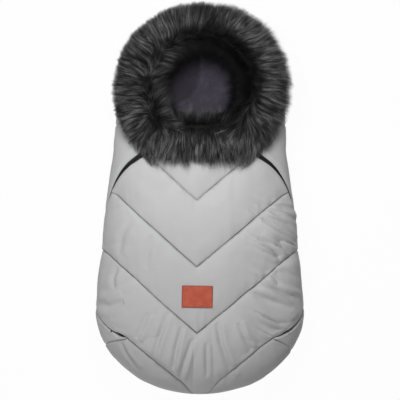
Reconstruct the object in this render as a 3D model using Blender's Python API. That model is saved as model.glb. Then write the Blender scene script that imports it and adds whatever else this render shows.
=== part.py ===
# Padded footmuff with a fur-trimmed hood, for a pushchair or pram.
# It lies on its back with its head towards +Y and its front up. Metres.

import math

import bpy
import bmesh
from mathutils import Matrix, Vector
from mathutils.geometry import delaunay_2d_cdt

# Overall shape of the bag, seen from the front
HALF_LENGTH = 0.461
TOE_Y = -HALF_LENGTH
WIDEST_Y = -0.2609
WIDEST_HALF = 0.2467
SHOULDER_Y = 0.1186
SHOULDER_HALF = 0.2052
HOOD_Y = 0.1767
HEAD_Y = 0.250
HEAD_HALF = 0.198
HEAD_REACH = 0.190
TAPER_POWER_SHARE = 1.4

# Height of the bag, seen from the side
SIDE_HEIGHT = 0.050
CHEST_HEIGHT = 0.118
LEG_HEIGHT = 0.131
LEG_Y = -0.150
TOE_NOSE = 0.150
TOE_FLUSH = 0.030
HEAD_NOSE = 0.085
FULLNESS_SHARE = 0.8
CORNER_SHARE = 0.27
CORNER_ANGLE = math.radians(150)
QUARTER = math.radians(90)
HALF_TURN = math.radians(180)
FULL_TURN = math.radians(360)

# Layers of cloth, as depths under the outer face
GAP = 0.0003
SHELL_THICK = 0.0012
WADDING_THICK = 0.010
LINING_THICK = 0.0012
WADDING_TOP = SHELL_THICK + GAP
WADDING_BOTTOM = WADDING_TOP + WADDING_THICK
LINING_TOP = WADDING_BOTTOM + GAP
LINING_BOTTOM = LINING_TOP + LINING_THICK
HEM_SETBACK = 0.010
SEAM_GAP = 0.0006
SEAM_GAP_ANGLE = math.radians(0.23)
TOUCHING = GAP / 1000

# Quilting of the cover, in chevrons that point to the toe
CHEVRON_APEX_Y = -0.0012
CHEVRON_PITCH = 0.1574
CHEVRON_SLOPE_SHARE = 0.82
QUILT_DEPTH = 0.008
QUILT_POWER_SHARE = 0.55
INNER_QUILT_SHARE = 0.3
QUILT_FADE = 0.020
QUILT_SIDE_START = math.radians(58)
QUILT_SIDE_END = math.radians(88)
TOE_SEAM_ROW = 3
TOE_SEAM_Y = CHEVRON_APEX_Y - TOE_SEAM_ROW * CHEVRON_PITCH
row_shares = (0.0, 0.14, 0.38, 0.62, 0.86)

# The line between the zips' lower ends, where the cover folds
FOLD_Y = -0.3285
FOLD_CLEARANCE = 0.0004

# The seam between the toe panel and the foot
TOE_PANEL_INSET = 0.004
TOE_PANEL_END = TOE_Y + TOE_PANEL_INSET
SEAM_POWER_SHARE = 1.5

# Zips
ZIP_SHOWS = 0.005
ZIP_GAP = 0.0004
TAPE_WIDTH = 0.013
TAPE_TOP = 0.0020
TAPE_BOTTOM = 0.0032
COIL_WIDTH = 0.0020
COIL_TOP = 0.0004
WADDING_SETBACK = 0.0145
SLIDER_LENGTH = 0.012
SLIDER_HEAD = 0.0090
SLIDER_TAIL = 0.0070
SLIDER_THICK = 0.0016
SLIDER_CLEARANCE = 0.0004
CROWN_WIDTH = 0.0036
CROWN_LENGTH = 0.0070
CROWN_HEIGHT = 0.0030
CROWN_WALL = 0.0009
SLIDER_Y = 0.1150
SLIDER_TRAVEL = 0.050
PULL_LENGTH = 0.022
PULL_WIDTH = 0.0065
PULL_THICK = 0.0010
PULL_EYE = 0.0046
PULL_BAR = 0.0010
STOP_LENGTH = 0.0030
STOP_THICK = 0.0012
STOP_INSET = 0.004
TOP_STOP_INSET = 0.011
ZIP_START = 0.036
SEAM_HALF_GAP = 0.0003

# Where each zip runs: shares of the way from the fold to the hood seam, and of a quarter turn round the side
zip_route_shares = (
    (0.069, 0.74),
    (0.128, 0.94),
    (0.168, 1.05),
    (0.266, 1.15),
    (0.464, 1.15),
    (0.562, 1.05),
    (0.641, 0.925),
    (0.710, 0.800),
    (0.765, 0.690),
    (0.813, 0.575),
    (0.864, 0.420),
    (0.931, 0.300),
    (1.0, 0.213),
)

# Face opening, hem and fur
FACE_Y = 0.270
HEM_RADIUS = 0.124
ELASTIC_SETBACK = 0.006
ELASTIC_THICK = 0.0015
FUR_CENTRE_Y = 0.2562
FUR_RADIUS = HALF_LENGTH - FUR_CENTRE_Y
FUR_OPENING = 0.078
FUR_CREST = 0.044
FUR_LIFT = 0.004
FUR_END_ANGLE = math.radians(135)
FUR_END_ROUND = math.radians(12)
FUR_END_SHARE = 0.45
FUR_CLEARANCE = 0.0012
BAND_Y = 0.146
BAND_HALF_LENGTH = 0.090
BAND_HALF_WIDTH = 0.052
BAND_CREST = 0.040
BAND_LIFT = 0.002
BAND_SLANT_SHARE = 0.585
BAND_ROUND_SHARE = 6

# Leather patch
PATCH_X = -0.0064
PATCH_Y = -0.2275
PATCH_WIDTH = 0.0728
PATCH_HEIGHT = 0.0522
PATCH_THICK = 0.0014
PATCH_TURN = math.radians(-1)

# Harness slots
SLOT_WIDTH = 0.010
SHOULDER_SLOT_LENGTH = 0.110
SHOULDER_SLOT_X = 0.070
SHOULDER_SLOT_Y = 0.060
CROTCH_SLOT_LENGTH = 0.060
CROTCH_SLOT_Y = -0.140
FACING_WALL = 0.004

# How finely each form is divided
SMALLEST_SPACING = 0.007
SMALLEST_TURN = math.radians(2.9)
SMALL_STEP = 0.001
SMALL_TURN = math.radians(0.06)
ROOT_STEPS = 24
ZIP_STATIONS = 24
ZIP_FINENESS = 400
SLOT_SIDES = 5
FOLD_STEPS = 5
TOP_STEPS = 3
BACK_TOP_STEPS = 10
FOOT_STEPS = 12
SEAM_STEPS = 9
HEM_STEPS = 12
HOOD_SEAM_STEPS = 15
COLUMN_TURN = math.radians(12)
COLUMNS_EACH_WAY = 9
CHEVRONS = range(-1, 4)
PATCH_ROWS = 3
PATCH_COLUMNS = 5
BACK_ROWS = 9
BACK_ANGLES = [math.radians(turn) for turn in (40, 58, 74, 90, 102, 114, 126, 138, 150, 165)]
SEAT_ROWS = 26
SEAT_COLUMNS = 30
FUR_STATIONS = 30
FUR_SIDES = 10
BAND_STATIONS = 14

# Rings of the rounded ends, as shares of the way from the tip, with the number of points in each
toe_ring_shares = ((0.10, 8), (0.24, 14), (0.39, 18), (0.55, 22), (0.71, 26), (0.86, 28))
head_ring_shares = ((0.11, 8), (0.23, 14), (0.35, 18), (0.47, 22), (0.59, 24), (0.72, 28), (0.87, 28))


def ease(share):
    share = min(1.0, max(0.0, share))
    return share * share * (3 - 2 * share)


def blend(low, high, share):
    return low + (high - low) * share


def round_end(station):
    """How far the bag's height has opened at a station: 0 at either tip, 1 past the rounded ends."""
    toe = min(1.0, (station - TOE_Y) / TOE_NOSE)
    head = min(1.0, (HEAD_Y + HEAD_REACH - station) / HEAD_NOSE)
    short = 1 - max(0.0, min(toe, head))
    return math.sqrt(max(0.0, 1 - short * short))


def plan(station, depth):
    """The place along the bag and half its width there, for a layer at this depth."""
    if station < WIDEST_Y:
        reach = WIDEST_Y - TOE_Y
        share = min(1.0, (WIDEST_Y - station) / reach)
        return WIDEST_Y - (reach - depth) * share, (WIDEST_HALF - depth) * math.sqrt(1 - share * share)
    if station > HEAD_Y:
        share = min(1.0, (station - HEAD_Y) / HEAD_REACH)
        return HEAD_Y + (HEAD_REACH - depth) * share, (HEAD_HALF - depth) * math.sqrt(1 - share * share)
    if station < SHOULDER_Y:
        share = ((station - WIDEST_Y) / (SHOULDER_Y - WIDEST_Y)) ** TAPER_POWER_SHARE
        return station, blend(WIDEST_HALF, SHOULDER_HALF, share) - depth
    share = ease((station - SHOULDER_Y) / (HEAD_Y - SHOULDER_Y))
    return station, blend(SHOULDER_HALF, HEAD_HALF, share) - depth


def skin(station, angle, depth=0.0):
    """A point of the bag. The angle is 0 on the front's middle line and half a turn on the back's."""
    y, half = plan(station, depth)
    top = blend(CHEST_HEIGHT, LEG_HEIGHT, ease((HOOD_Y - station) / (HOOD_Y - LEG_Y)))
    opened = round_end(station)
    rise = (top - SIDE_HEIGHT - depth) * opened
    drop = (SIDE_HEIGHT - depth) * opened
    side = 1 if angle >= 0 else -1
    turn = min(abs(angle), HALF_TURN)
    if turn <= QUARTER:
        x = half * math.sin(turn) ** FULLNESS_SHARE
        z = SIDE_HEIGHT + rise * max(0.0, math.cos(turn)) ** FULLNESS_SHARE
    elif turn < CORNER_ANGLE:
        bend = QUARTER * (CORNER_ANGLE - turn) / (CORNER_ANGLE - QUARTER)
        x = half * (1 - CORNER_SHARE + CORNER_SHARE * math.sin(bend))
        z = SIDE_HEIGHT - drop * math.cos(bend)
    else:
        x = half * (1 - CORNER_SHARE) * (HALF_TURN - turn) / (HALF_TURN - CORNER_ANGLE)
        z = SIDE_HEIGHT - drop
    return Vector((side * x, y, z))


def angle_at(station, x):
    """The angle on the front at which the bag is x wide."""
    half = plan(station, 0.0)[1]
    return math.asin(min(1.0, abs(x) / half) ** (1 / FULLNESS_SHARE))


def toe_seam_angle(station):
    """Where the lowest chevron seam crosses a station."""
    return angle_at(station, (station - TOE_SEAM_Y) / CHEVRON_SLOPE_SHARE)


def quilt_fade(station, angle):
    """1 where the quilting has its full depth, falling to 0 towards the zips and the foot's sides."""
    spot = Vector((abs(angle) * FLAT_SCALE, station))
    least, near_angle = math.inf, 0.0
    for (s1, a1), (s2, a2) in zip(cover_wadding_edge, cover_wadding_edge[1:]):
        start, way = Vector((a1 * FLAT_SCALE, s1)), Vector(((a2 - a1) * FLAT_SCALE, s2 - s1))
        share = 0.0 if way.length == 0 else max(0.0, min(1.0, (spot - start).dot(way) / way.dot(way)))
        distance = (start + way * share - spot).length
        if distance < least:
            least, near_angle = distance, blend(a1, a2, share)
    if station > FOLD_Y and abs(angle) > near_angle:
        return 0.0
    side = 0.0
    if station < FOLD_Y:
        side = ease((abs(angle) - QUILT_SIDE_START) / (QUILT_SIDE_END - QUILT_SIDE_START))
    return ease(least / QUILT_FADE) * (1 - side) * ease((station - TOE_Y) / TOE_FLUSH)


def quilt_dip(station, angle):
    """How far the quilting draws the cloth in."""
    point = skin(station, angle)
    row = (point.y - CHEVRON_SLOPE_SHARE * abs(point.x) - CHEVRON_APEX_Y) / CHEVRON_PITCH
    dip = QUILT_DEPTH * (1 - abs(math.sin(math.pi * row)) ** QUILT_POWER_SHARE)
    return dip * quilt_fade(station, angle)


def chevron_point(row_y, angle):
    """The station at which the chevron whose tip is at row_y crosses this angle."""
    station = row_y
    for _ in range(ROOT_STEPS):
        station = row_y + CHEVRON_SLOPE_SHARE * abs(skin(max(station, FOLD_Y), angle).x)
    return station


# Smooth curves through a few points


def smooth_point(points, share):
    """A point of the Catmull-Rom curve through the points."""
    place = share * (len(points) - 1)
    first = min(int(place), len(points) - 2)
    t = place - first
    p1, p2 = Vector(points[first]), Vector(points[first + 1])
    p0 = Vector(points[first - 1]) if first > 0 else p1 * 2 - p2
    p3 = Vector(points[first + 2]) if first + 2 < len(points) else p2 * 2 - p1
    return 0.5 * (2 * p1 + (p2 - p0) * t + (2 * p0 - 5 * p1 + 4 * p2 - p3) * t * t
                  + (3 * p1 - p0 - 3 * p2 + p3) * t * t * t)


def zip_run():
    """Stations and angles of the right-hand zip, close together, and the run up to each, from the fold line."""
    places = [(FOLD_Y, toe_seam_angle(FOLD_Y))]
    for along_share, turn_share in zip_route_shares:
        places.append((blend(FOLD_Y, HOOD_Y, along_share), turn_share * QUARTER))
    fine = [smooth_point(places, i / ZIP_FINENESS) for i in range(ZIP_FINENESS + 1)]
    run = [0.0]
    for one, two in zip(fine, fine[1:]):
        run.append(run[-1] + (skin(*two) - skin(*one)).length)
    return [tuple(place) for place in fine], run


def zip_index(wanted):
    """The place in the fine line at this run from the fold line."""
    return min(range(len(fine_run)), key=lambda j: abs(fine_run[j] - wanted))


def zip_index_of(station, angle):
    return min(range(len(fine_line)), key=lambda j: abs(fine_line[j][0] - station) + abs(fine_line[j][1] - angle))


def cloth_frame(line, i):
    """The line's direction at a station, the cloth's outward normal and the direction towards the cover's middle."""
    low, high = line[max(0, i - 1)], line[min(len(line) - 1, i + 1)]
    along = (skin(*high) - skin(*low)).normalized()
    station, angle = line[i]
    by_station = (skin(station + SMALL_STEP, angle) - skin(station - SMALL_STEP, angle)) / (2 * SMALL_STEP)
    by_angle = (skin(station, angle + SMALL_TURN) - skin(station, angle - SMALL_TURN)) / (2 * SMALL_TURN)
    normal = by_angle.cross(by_station).normalized()
    if normal.dot(skin(station, angle) - Vector((0, station, SIDE_HEIGHT))) < 0:
        normal = -normal
    inward = normal.cross(along).normalized()
    if inward.dot(by_angle) > 0:
        inward = -inward
    return along, normal, inward, by_station, by_angle


def beside(line, distance):
    """The line moved over the cloth, towards the cover's middle by the distance, and by less near the notch."""
    moved = []
    for i, (station, angle) in enumerate(line):
        _, _, inward, by_s, by_a = cloth_frame(line, i)
        opened = ease(fine_run[zip_index_of(station, angle)] / ZIP_START)
        move = inward * math.copysign(max(abs(distance) * opened, min(abs(distance), SEAM_HALF_GAP)), distance)
        a, b, c = by_s.dot(by_s), by_s.dot(by_a), by_a.dot(by_a)
        p, q = by_s.dot(move), by_a.dot(move)
        scale = a * c - b * b
        new_station = station + (p * c - q * b) / scale
        new_angle = angle + (q * a - p * b) / scale
        moved.append((min(HOOD_Y - GAP / 2, max(FOLD_Y + GAP / 2, new_station)), new_angle))
    return moved


# Objects and their finishes


def finish(name, colour, roughness, metallic=0.0):
    material = bpy.data.materials.new(name)
    material.use_nodes = True
    shader = material.node_tree.nodes["Principled BSDF"]
    shader.inputs["Base Color"].default_value = (*colour, 1)
    shader.inputs["Roughness"].default_value = roughness
    shader.inputs["Metallic"].default_value = metallic
    material.diffuse_color = (*colour, 1)
    return material


def solid(name, points, faces, material, origin=Vector((0, 0, 0)), smooth=True):
    """One closed solid, with its faces turned outwards and its origin where it turns."""
    mesh = bpy.data.meshes.new(name)
    mesh.from_pydata([Vector(p) - origin for p in points], [], faces)
    shape = bmesh.new()
    shape.from_mesh(mesh)
    bmesh.ops.remove_doubles(shape, verts=shape.verts, dist=GAP / 100)
    bmesh.ops.recalc_face_normals(shape, faces=shape.faces)
    shape.to_mesh(mesh)
    shape.free()
    for face in mesh.polygons:
        face.use_smooth = smooth
    thing = bpy.data.objects.new(name, mesh)
    thing.location = origin
    mesh.materials.append(material)
    bpy.context.scene.collection.objects.link(thing)
    return thing


def cut(thing, cutter):
    """Cut the thing by the cutter, which stays as a hidden guide."""
    cutter.hide_render = True
    cutter.display_type = "WIRE"
    step = thing.modifiers.new("cut by " + cutter.name, "BOOLEAN")
    step.operation = "DIFFERENCE"
    step.solver = "EXACT"
    step.object = cutter


# Flat patterns, which are cut out, lifted to the bag's shape and given their thickness


def inside(point, outline):
    x, y = point
    odd = False
    for (x1, y1), (x2, y2) in zip(outline, outline[1:] + outline[:1]):
        if (y1 > y) != (y2 > y) and x < x1 + (x2 - x1) * (y - y1) / (y2 - y1):
            odd = not odd
    return odd


def edge_distance(point, outline):
    point = Vector(point)
    least = math.inf
    for one, two in zip(outline, outline[1:] + outline[:1]):
        start, way = Vector(one), Vector(two) - Vector(one)
        share = 0.0 if way.length == 0 else max(0.0, min(1.0, (point - start).dot(way) / way.dot(way)))
        least = min(least, (start + way * share - point).length)
    return least


def pattern(outlines, points, margin):
    """Triangles of the first outline, which also keep the lines of the others and the points inside."""
    corners, edges = [], []
    for outline in outlines:
        start = len(corners)
        corners += [Vector(p) for p in outline]
        edges += [(start + i, start + (i + 1) % len(outline)) for i in range(len(outline))]
    for point in points:
        if inside(point, outlines[0]) and all(edge_distance(point, line) > margin for line in outlines):
            corners.append(Vector(point))
    spots, _, faces, _, _, _ = delaunay_2d_cdt(corners, edges, [], 1, TOUCHING)
    middle = lambda face: sum((spots[i] for i in face), Vector((0, 0))) / len(face)
    return spots, [face for face in faces if inside(middle(face), outlines[0])]


def layer(name, cloth, keep, place, outer, inner, material, origin=Vector((0, 0, 0))):
    """One layer of a pattern: the triangles that it keeps, between two depths, closed along every edge."""
    spots, faces = cloth
    middle = lambda face: sum((spots[i] for i in face), Vector((0, 0))) / len(face)
    kept = [tuple(face) for face in faces if keep(middle(face))]
    used = sorted({i for face in kept for i in face})
    number = {old: new for new, old in enumerate(used)}
    count = len(used)
    points = [place(spots[i], outer) for i in used] + [place(spots[i], inner) for i in used]
    shape = [tuple(number[i] for i in face) for face in kept]
    closed = shape + [tuple(i + count for i in reversed(face)) for face in shape]
    sides = {(face[k], face[(k + 1) % 3]) for face in shape for k in range(3)}
    for one, two in sides:
        if (two, one) not in sides:
            closed.append((two, one, one + count))
            closed.append((two, one + count, two + count))
    return solid(name, points, closed, material, origin)


def strip(name, rails, material, origin=Vector((0, 0, 0)), closed_ends=True):
    """A strip whose cross-section, a ring of points, is carried from station to station."""
    ring = len(rails[0])
    points = [p for rail in rails for p in rail]
    faces = []
    for i in range(len(rails) - 1):
        for k in range(ring):
            a, b = i * ring + k, i * ring + (k + 1) % ring
            faces.append((a, b, b + ring, a + ring))
    if closed_ends:
        faces.append(tuple(reversed(range(ring))))
        faces.append(tuple(range(len(points) - ring, len(points))))
    return solid(name, points, faces, material, origin)


for thing in list(bpy.data.objects):
    bpy.data.objects.remove(thing, do_unlink=True)

grey_cloth = finish("grey_cloth", (0.50, 0.50, 0.50), 0.62)
foot_cloth = finish("foot_cloth", (0.40, 0.40, 0.40), 0.65)
wadding = finish("wadding", (0.86, 0.86, 0.84), 0.95)
fleece = finish("dark_fleece", (0.045, 0.040, 0.052), 0.95)
fur = finish("dark_fur", (0.035, 0.035, 0.036), 0.90)
zip_black = finish("zip_black", (0.015, 0.015, 0.016), 0.55)
zip_metal = finish("zip_metal", (0.10, 0.10, 0.11), 0.35, 0.9)
tan_leather = finish("tan_leather", (0.50, 0.11, 0.06), 0.50)
elastic_white = finish("elastic", (0.70, 0.70, 0.68), 0.8)
facing_cloth = finish("slot_facing", (0.05, 0.05, 0.055), 0.8)

FOLD_AXIS = Vector((0, FOLD_Y, skin(FOLD_Y, 0.0).z + FOLD_CLEARANCE))

fine_line, fine_run = zip_run()
zip_length = fine_run[-1]
tape_runs = [blend(ZIP_START, zip_length, i / (ZIP_STATIONS - 1)) for i in range(ZIP_STATIONS)]
route = [fine_line[zip_index(run)] for run in [0.0, ZIP_START / 3, ZIP_START * 2 / 3] + tape_runs]
cover_edge = beside(route, ZIP_SHOWS)
back_edge = beside(route, -ZIP_SHOWS)
cover_wadding_edge = beside(route, WADDING_SETBACK)
back_wadding_edge = beside(route, -WADDING_SETBACK)
FLAT_SCALE = SHOULDER_HALF
fold_turns = [cover_edge[0][1] * k / FOLD_STEPS for k in range(1, FOLD_STEPS + 1)]
back_turns = [blend(back_edge[0][1], HALF_TURN, k / FOOT_STEPS) for k in range(FOOT_STEPS)]


def mirrored(line):
    """A closed outline from the right-hand side's points, given upwards."""
    return [(x, y) for x, y in line] + [(-x, y) for x, y in reversed(line)]


# Front cover: shell, wadding and lining cut from one quilted pattern


def cover_flat(edge):
    """The cover's outline on its flat pattern, with points along its top and its fold line."""
    low, high = FOLD_Y + GAP / 2, HOOD_Y - GAP / 2
    side = [(a * FLAT_SCALE, s) for s, a in edge]
    side = [(x, y) for x, y in side if low + GAP < y < high - GAP]
    foot, top = edge[0][1] * FLAT_SCALE, edge[-1][1] * FLAT_SCALE
    foot_row = [(turn * FLAT_SCALE, low) for turn in fold_turns if turn * FLAT_SCALE < foot] + [(foot, low)]
    top_row = [(top * k / TOP_STEPS, high) for k in range(TOP_STEPS, 0, -1)]
    outline = mirrored(foot_row + side + top_row)
    outline.append((0.0, low))
    outline.insert(len(foot_row + side + top_row), (0.0, high))
    return outline


def cover_place(spot, depth):
    shell_depth, inner_share = depth
    station, angle = spot[1], spot[0] / FLAT_SCALE
    return skin(station, angle, shell_depth + inner_share * quilt_dip(station, angle))


columns = [COLUMN_TURN * k for k in range(-COLUMNS_EACH_WAY, COLUMNS_EACH_WAY + 1)]
cover_points = []
for band in CHEVRONS:
    tip = CHEVRON_APEX_Y - band * CHEVRON_PITCH
    for rise_share in row_shares:
        for angle in columns:
            station = chevron_point(tip + rise_share * CHEVRON_PITCH, angle)
            cover_points.append((angle * FLAT_SCALE, station))

cover_outline = cover_flat(cover_edge)
cover_inner_outline = cover_flat(cover_wadding_edge)
cover_cloth = pattern([cover_outline, cover_inner_outline], cover_points, SMALLEST_SPACING)
everywhere = lambda spot: True
in_cover_wadding = lambda spot: inside(spot, cover_inner_outline)
layer("cover_shell", cover_cloth, everywhere, cover_place,
      (0.0, 1.0), (SHELL_THICK, 1.0), grey_cloth, FOLD_AXIS)
layer("cover_wadding", cover_cloth, in_cover_wadding, cover_place,
      (WADDING_TOP, 1.0), (WADDING_BOTTOM, INNER_QUILT_SHARE), wadding, FOLD_AXIS)
layer("cover_lining", cover_cloth, everywhere, cover_place,
      (LINING_TOP, INNER_QUILT_SHARE), (LINING_BOTTOM, INNER_QUILT_SHARE), fleece, FOLD_AXIS)

# Leather patch, on the crest of the third chevron
patch_spots = []
for j in range(PATCH_ROWS + 1):
    for i in range(PATCH_COLUMNS + 1):
        across = blend(-PATCH_WIDTH / 2, PATCH_WIDTH / 2, i / PATCH_COLUMNS)
        up = blend(-PATCH_HEIGHT / 2, PATCH_HEIGHT / 2, j / PATCH_ROWS)
        x = PATCH_X + across * math.cos(PATCH_TURN) - up * math.sin(PATCH_TURN)
        y = PATCH_Y + across * math.sin(PATCH_TURN) + up * math.cos(PATCH_TURN)
        patch_spots.append((math.copysign(angle_at(y, x), x), y))
wide = PATCH_COLUMNS + 1
patch_faces = []
for j in range(PATCH_ROWS):
    for i in range(PATCH_COLUMNS):
        a = j * wide + i
        patch_faces.append((a, a + 1, a + wide + 1))
        patch_faces.append((a, a + wide + 1, a + wide))
patch_cloth = ([Vector(p) for p in patch_spots], patch_faces)
layer("leather_patch", patch_cloth, everywhere, lambda spot, depth: skin(spot[1], spot[0], depth),
      -GAP - PATCH_THICK, -GAP, tan_leather, FOLD_AXIS)


# Back of the bag: the tray that wraps round the sides to the zips


def back_flat(edge):
    low, high = FOLD_Y + GAP / 2, HOOD_Y - GAP / 2
    side = [((HALF_TURN - a) * FLAT_SCALE, s) for s, a in edge]
    side = [(x, y) for x, y in side if low + GAP < y < high - GAP]
    foot = (HALF_TURN - edge[0][1]) * FLAT_SCALE
    top = (HALF_TURN - edge[-1][1]) * FLAT_SCALE
    foot_row = [((HALF_TURN - turn) * FLAT_SCALE, low) for turn in reversed(back_turns)]
    foot_row = [(x, y) for x, y in foot_row if x < foot] + [(foot, low)]
    top_row = [(top * k / BACK_TOP_STEPS, high) for k in range(BACK_TOP_STEPS, 0, -1)]
    outline = mirrored(foot_row + side + top_row)
    outline.append((0.0, low))
    outline.insert(len(foot_row + side + top_row), (0.0, high))
    return outline


def back_place(spot, depth):
    turn = HALF_TURN - abs(spot[0]) / FLAT_SCALE
    return skin(spot[1], math.copysign(turn, spot[0]) if spot[0] else turn, depth)


def slot_ring(x, y, half_length, half_width, grow=0.0):
    """The outline of a harness slot, with round ends."""
    ring = []
    for end, start in ((1, 0.0), (-1, HALF_TURN)):
        for k in range(SLOT_SIDES + 1):
            turn = start + HALF_TURN * k / SLOT_SIDES
            reach = half_width + grow
            ring.append((x + reach * math.cos(turn), y + end * (half_length - half_width) + reach * math.sin(turn)))
    return ring


SLOTS = (
    ("slot_facing_left", -SHOULDER_SLOT_X, SHOULDER_SLOT_Y, SHOULDER_SLOT_LENGTH),
    ("slot_facing_right", SHOULDER_SLOT_X, SHOULDER_SLOT_Y, SHOULDER_SLOT_LENGTH),
    ("slot_facing_crotch", 0.0, CROTCH_SLOT_Y, CROTCH_SLOT_LENGTH),
)

back_points = []
for j in range(1, BACK_ROWS):
    station = blend(FOLD_Y, HOOD_Y, j / BACK_ROWS)
    back_points.append((0.0, station))
    for turn in BACK_ANGLES:
        flat_x = (HALF_TURN - turn) * FLAT_SCALE
        back_points += [(flat_x, station), (-flat_x, station)]
back_outline = back_flat(back_edge)
back_inner_outline = back_flat(back_wadding_edge)
back_cloth = pattern([back_outline, back_inner_outline], back_points, SMALLEST_SPACING)
in_back_wadding = lambda spot: inside(spot, back_inner_outline)
back_layers = (
    layer("back_shell", back_cloth, everywhere, back_place, 0.0, SHELL_THICK, grey_cloth),
    layer("back_wadding", back_cloth, in_back_wadding, back_place, WADDING_TOP, WADDING_BOTTOM, wadding),
    layer("back_lining", back_cloth, everywhere, back_place, LINING_TOP, LINING_BOTTOM, fleece),
)

for name, x, y, length in SLOTS:
    outer = slot_ring(x, y, length / 2 + FACING_WALL, SLOT_WIDTH / 2 + FACING_WALL)
    inner = slot_ring(x, y, length / 2, SLOT_WIDTH / 2)
    hole = slot_ring(x, y, length / 2 + FACING_WALL + GAP, SLOT_WIDTH / 2 + FACING_WALL + GAP)
    heights = (GAP, LINING_BOTTOM)
    rails = [[(*o, heights[0]), (*o, heights[1]), (*i, heights[1]), (*i, heights[0])] for o, i in zip(outer, inner)]
    strip(name, rails + rails[:1], facing_cloth, closed_ends=False)
    cutter_rails = [[(px, py, -SIDE_HEIGHT / 2) for px, py in hole], [(px, py, SIDE_HEIGHT / 2) for px, py in hole]]
    cutter = strip("hole_for_" + name, cutter_rails, facing_cloth)
    for cloth in back_layers:
        cut(cloth, cutter)


# Foot and toe panel: one cup, cut apart along the lowest chevron seam


def toe_place(spot, depth):
    shell_depth, inner_share = depth
    station = WIDEST_Y - (WIDEST_Y - TOE_Y) * math.cos(min(math.hypot(*spot), QUARTER))
    angle = math.atan2(spot[0], spot[1])
    dip = quilt_dip(station, angle) if abs(angle) < QUARTER else 0.0
    return skin(station, angle, shell_depth + inner_share * dip)


def toe_spot(station, angle):
    radius = math.acos(min(1.0, (WIDEST_Y - station) / (WIDEST_Y - TOE_Y)))
    return radius * math.sin(angle), radius * math.cos(angle)


foot_station = FOLD_Y - SEAM_GAP + GAP / 2
seam_side = []
for k in range(SEAM_STEPS + 1):
    station = blend(foot_station, TOE_PANEL_END, 1 - (1 - k / SEAM_STEPS) ** SEAM_POWER_SHARE)
    seam_side.append((station, toe_seam_angle(station)))
panel_right = [toe_spot(s, a - SEAM_GAP_ANGLE) for s, a in seam_side]
foot_right = [toe_spot(s, a + SEAM_GAP_ANGLE) for s, a in seam_side]
foot_right[-1] = toe_spot(TOE_PANEL_END - GAP, seam_side[-1][1] + SEAM_GAP_ANGLE)
first_turn = seam_side[0][1]
panel_row = [toe_spot(foot_station, turn) for turn in [0.0] + fold_turns[:-1]]
panel_end = toe_spot(TOE_PANEL_END, 0.0)
panel_outline = (panel_row + panel_right + [panel_end]
                 + [(-x, y) for x, y in reversed(panel_right)]
                 + [(-x, y) for x, y in reversed(panel_row[1:])])
foot_end = toe_spot(TOE_PANEL_END - GAP, 0.0)
rim = [toe_spot(foot_station, turn) for turn in back_turns[1:] + [HALF_TURN]]
foot_outline = (list(reversed(rim)) + foot_right + [foot_end]
                + [(-x, y) for x, y in reversed(foot_right)]
                + [(-x, y) for x, y in rim[:-1]])
toe_points = [(0.0, 0.0)]
for radius_share, count in toe_ring_shares:
    radius = radius_share * math.acos((WIDEST_Y - foot_station) / (WIDEST_Y - TOE_Y))
    for k in range(count):
        turn = FULL_TURN * k / count
        toe_points.append((radius * math.sin(turn), radius * math.cos(turn)))
for piece, outline, cloth in (("toe_panel", panel_outline, grey_cloth), ("foot", foot_outline, foot_cloth)):
    flat = pattern([outline], toe_points, SMALLEST_TURN)
    layer(piece + "_shell", flat, everywhere, toe_place, (0.0, 1.0), (SHELL_THICK, 1.0), cloth)
    layer(piece + "_wadding", flat, everywhere, toe_place,
          (WADDING_TOP, 1.0), (WADDING_BOTTOM, INNER_QUILT_SHARE), wadding)
    layer(piece + "_lining", flat, everywhere, toe_place,
          (LINING_TOP, INNER_QUILT_SHARE), (LINING_BOTTOM, INNER_QUILT_SHARE), fleece)


# Hood: the head end, with the face opening in its front


def hood_station(radius):
    if radius < QUARTER:
        return HEAD_Y + HEAD_REACH * math.cos(radius)
    return HEAD_Y - (radius - QUARTER) * HEAD_REACH


def hood_radius(station):
    if station > HEAD_Y:
        return math.acos(min(1.0, (station - HEAD_Y) / HEAD_REACH))
    return QUARTER + (HEAD_Y - station) / HEAD_REACH


def hood_spot(station, angle):
    radius = hood_radius(station)
    return radius * math.sin(angle), radius * math.cos(angle)


def hood_place(spot, depth):
    return skin(hood_station(math.hypot(*spot)), math.atan2(spot[0], spot[1]), depth)


def hem_line(setback):
    """The right half of the face opening's hem, from the top down to the hood seam."""
    radius = HEM_RADIUS + setback
    last = math.acos((HOOD_Y + GAP / 2 - FACE_Y) / radius)
    line = []
    for k in range(HEM_STEPS + 1):
        turn = last * k / HEM_STEPS
        y = FACE_Y + radius * math.cos(turn)
        line.append((y, angle_at(y, radius * math.sin(turn))))
    return line


def hood_outline(setback):
    hem = hem_line(setback)
    seam_station = HOOD_Y + GAP / 2
    right = [hood_spot(s, a) for s, a in hem]
    turns = [blend(hem[-1][1], HALF_TURN, k / HOOD_SEAM_STEPS) for k in range(1, HOOD_SEAM_STEPS + 1)]
    seam = [hood_spot(seam_station, turn) for turn in turns]
    return (right + seam + [(-x, y) for x, y in reversed(seam[:-1])]
            + [(-x, y) for x, y in reversed(right[1:])])


hood_points = [(0.0, 0.0)]
seam_radius = hood_radius(HOOD_Y)
for radius_share, count in head_ring_shares:
    for k in range(count):
        turn = FULL_TURN * (k + 1 / 2) / count
        radius = radius_share * seam_radius
        hood_points.append((radius * math.sin(turn), radius * math.cos(turn)))
hood_cloth = pattern([hood_outline(0.0), hood_outline(HEM_SETBACK)], hood_points, SMALLEST_TURN)
hood_inner_outline = hood_outline(HEM_SETBACK)
in_hood_wadding = lambda spot: inside(spot, hood_inner_outline)
layer("hood_shell", hood_cloth, everywhere, hood_place, 0.0, SHELL_THICK, grey_cloth)
layer("hood_wadding", hood_cloth, in_hood_wadding, hood_place, WADDING_TOP, WADDING_BOTTOM, wadding)
layer("hood_lining", hood_cloth, everywhere, hood_place, LINING_TOP, LINING_BOTTOM, fleece)

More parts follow.
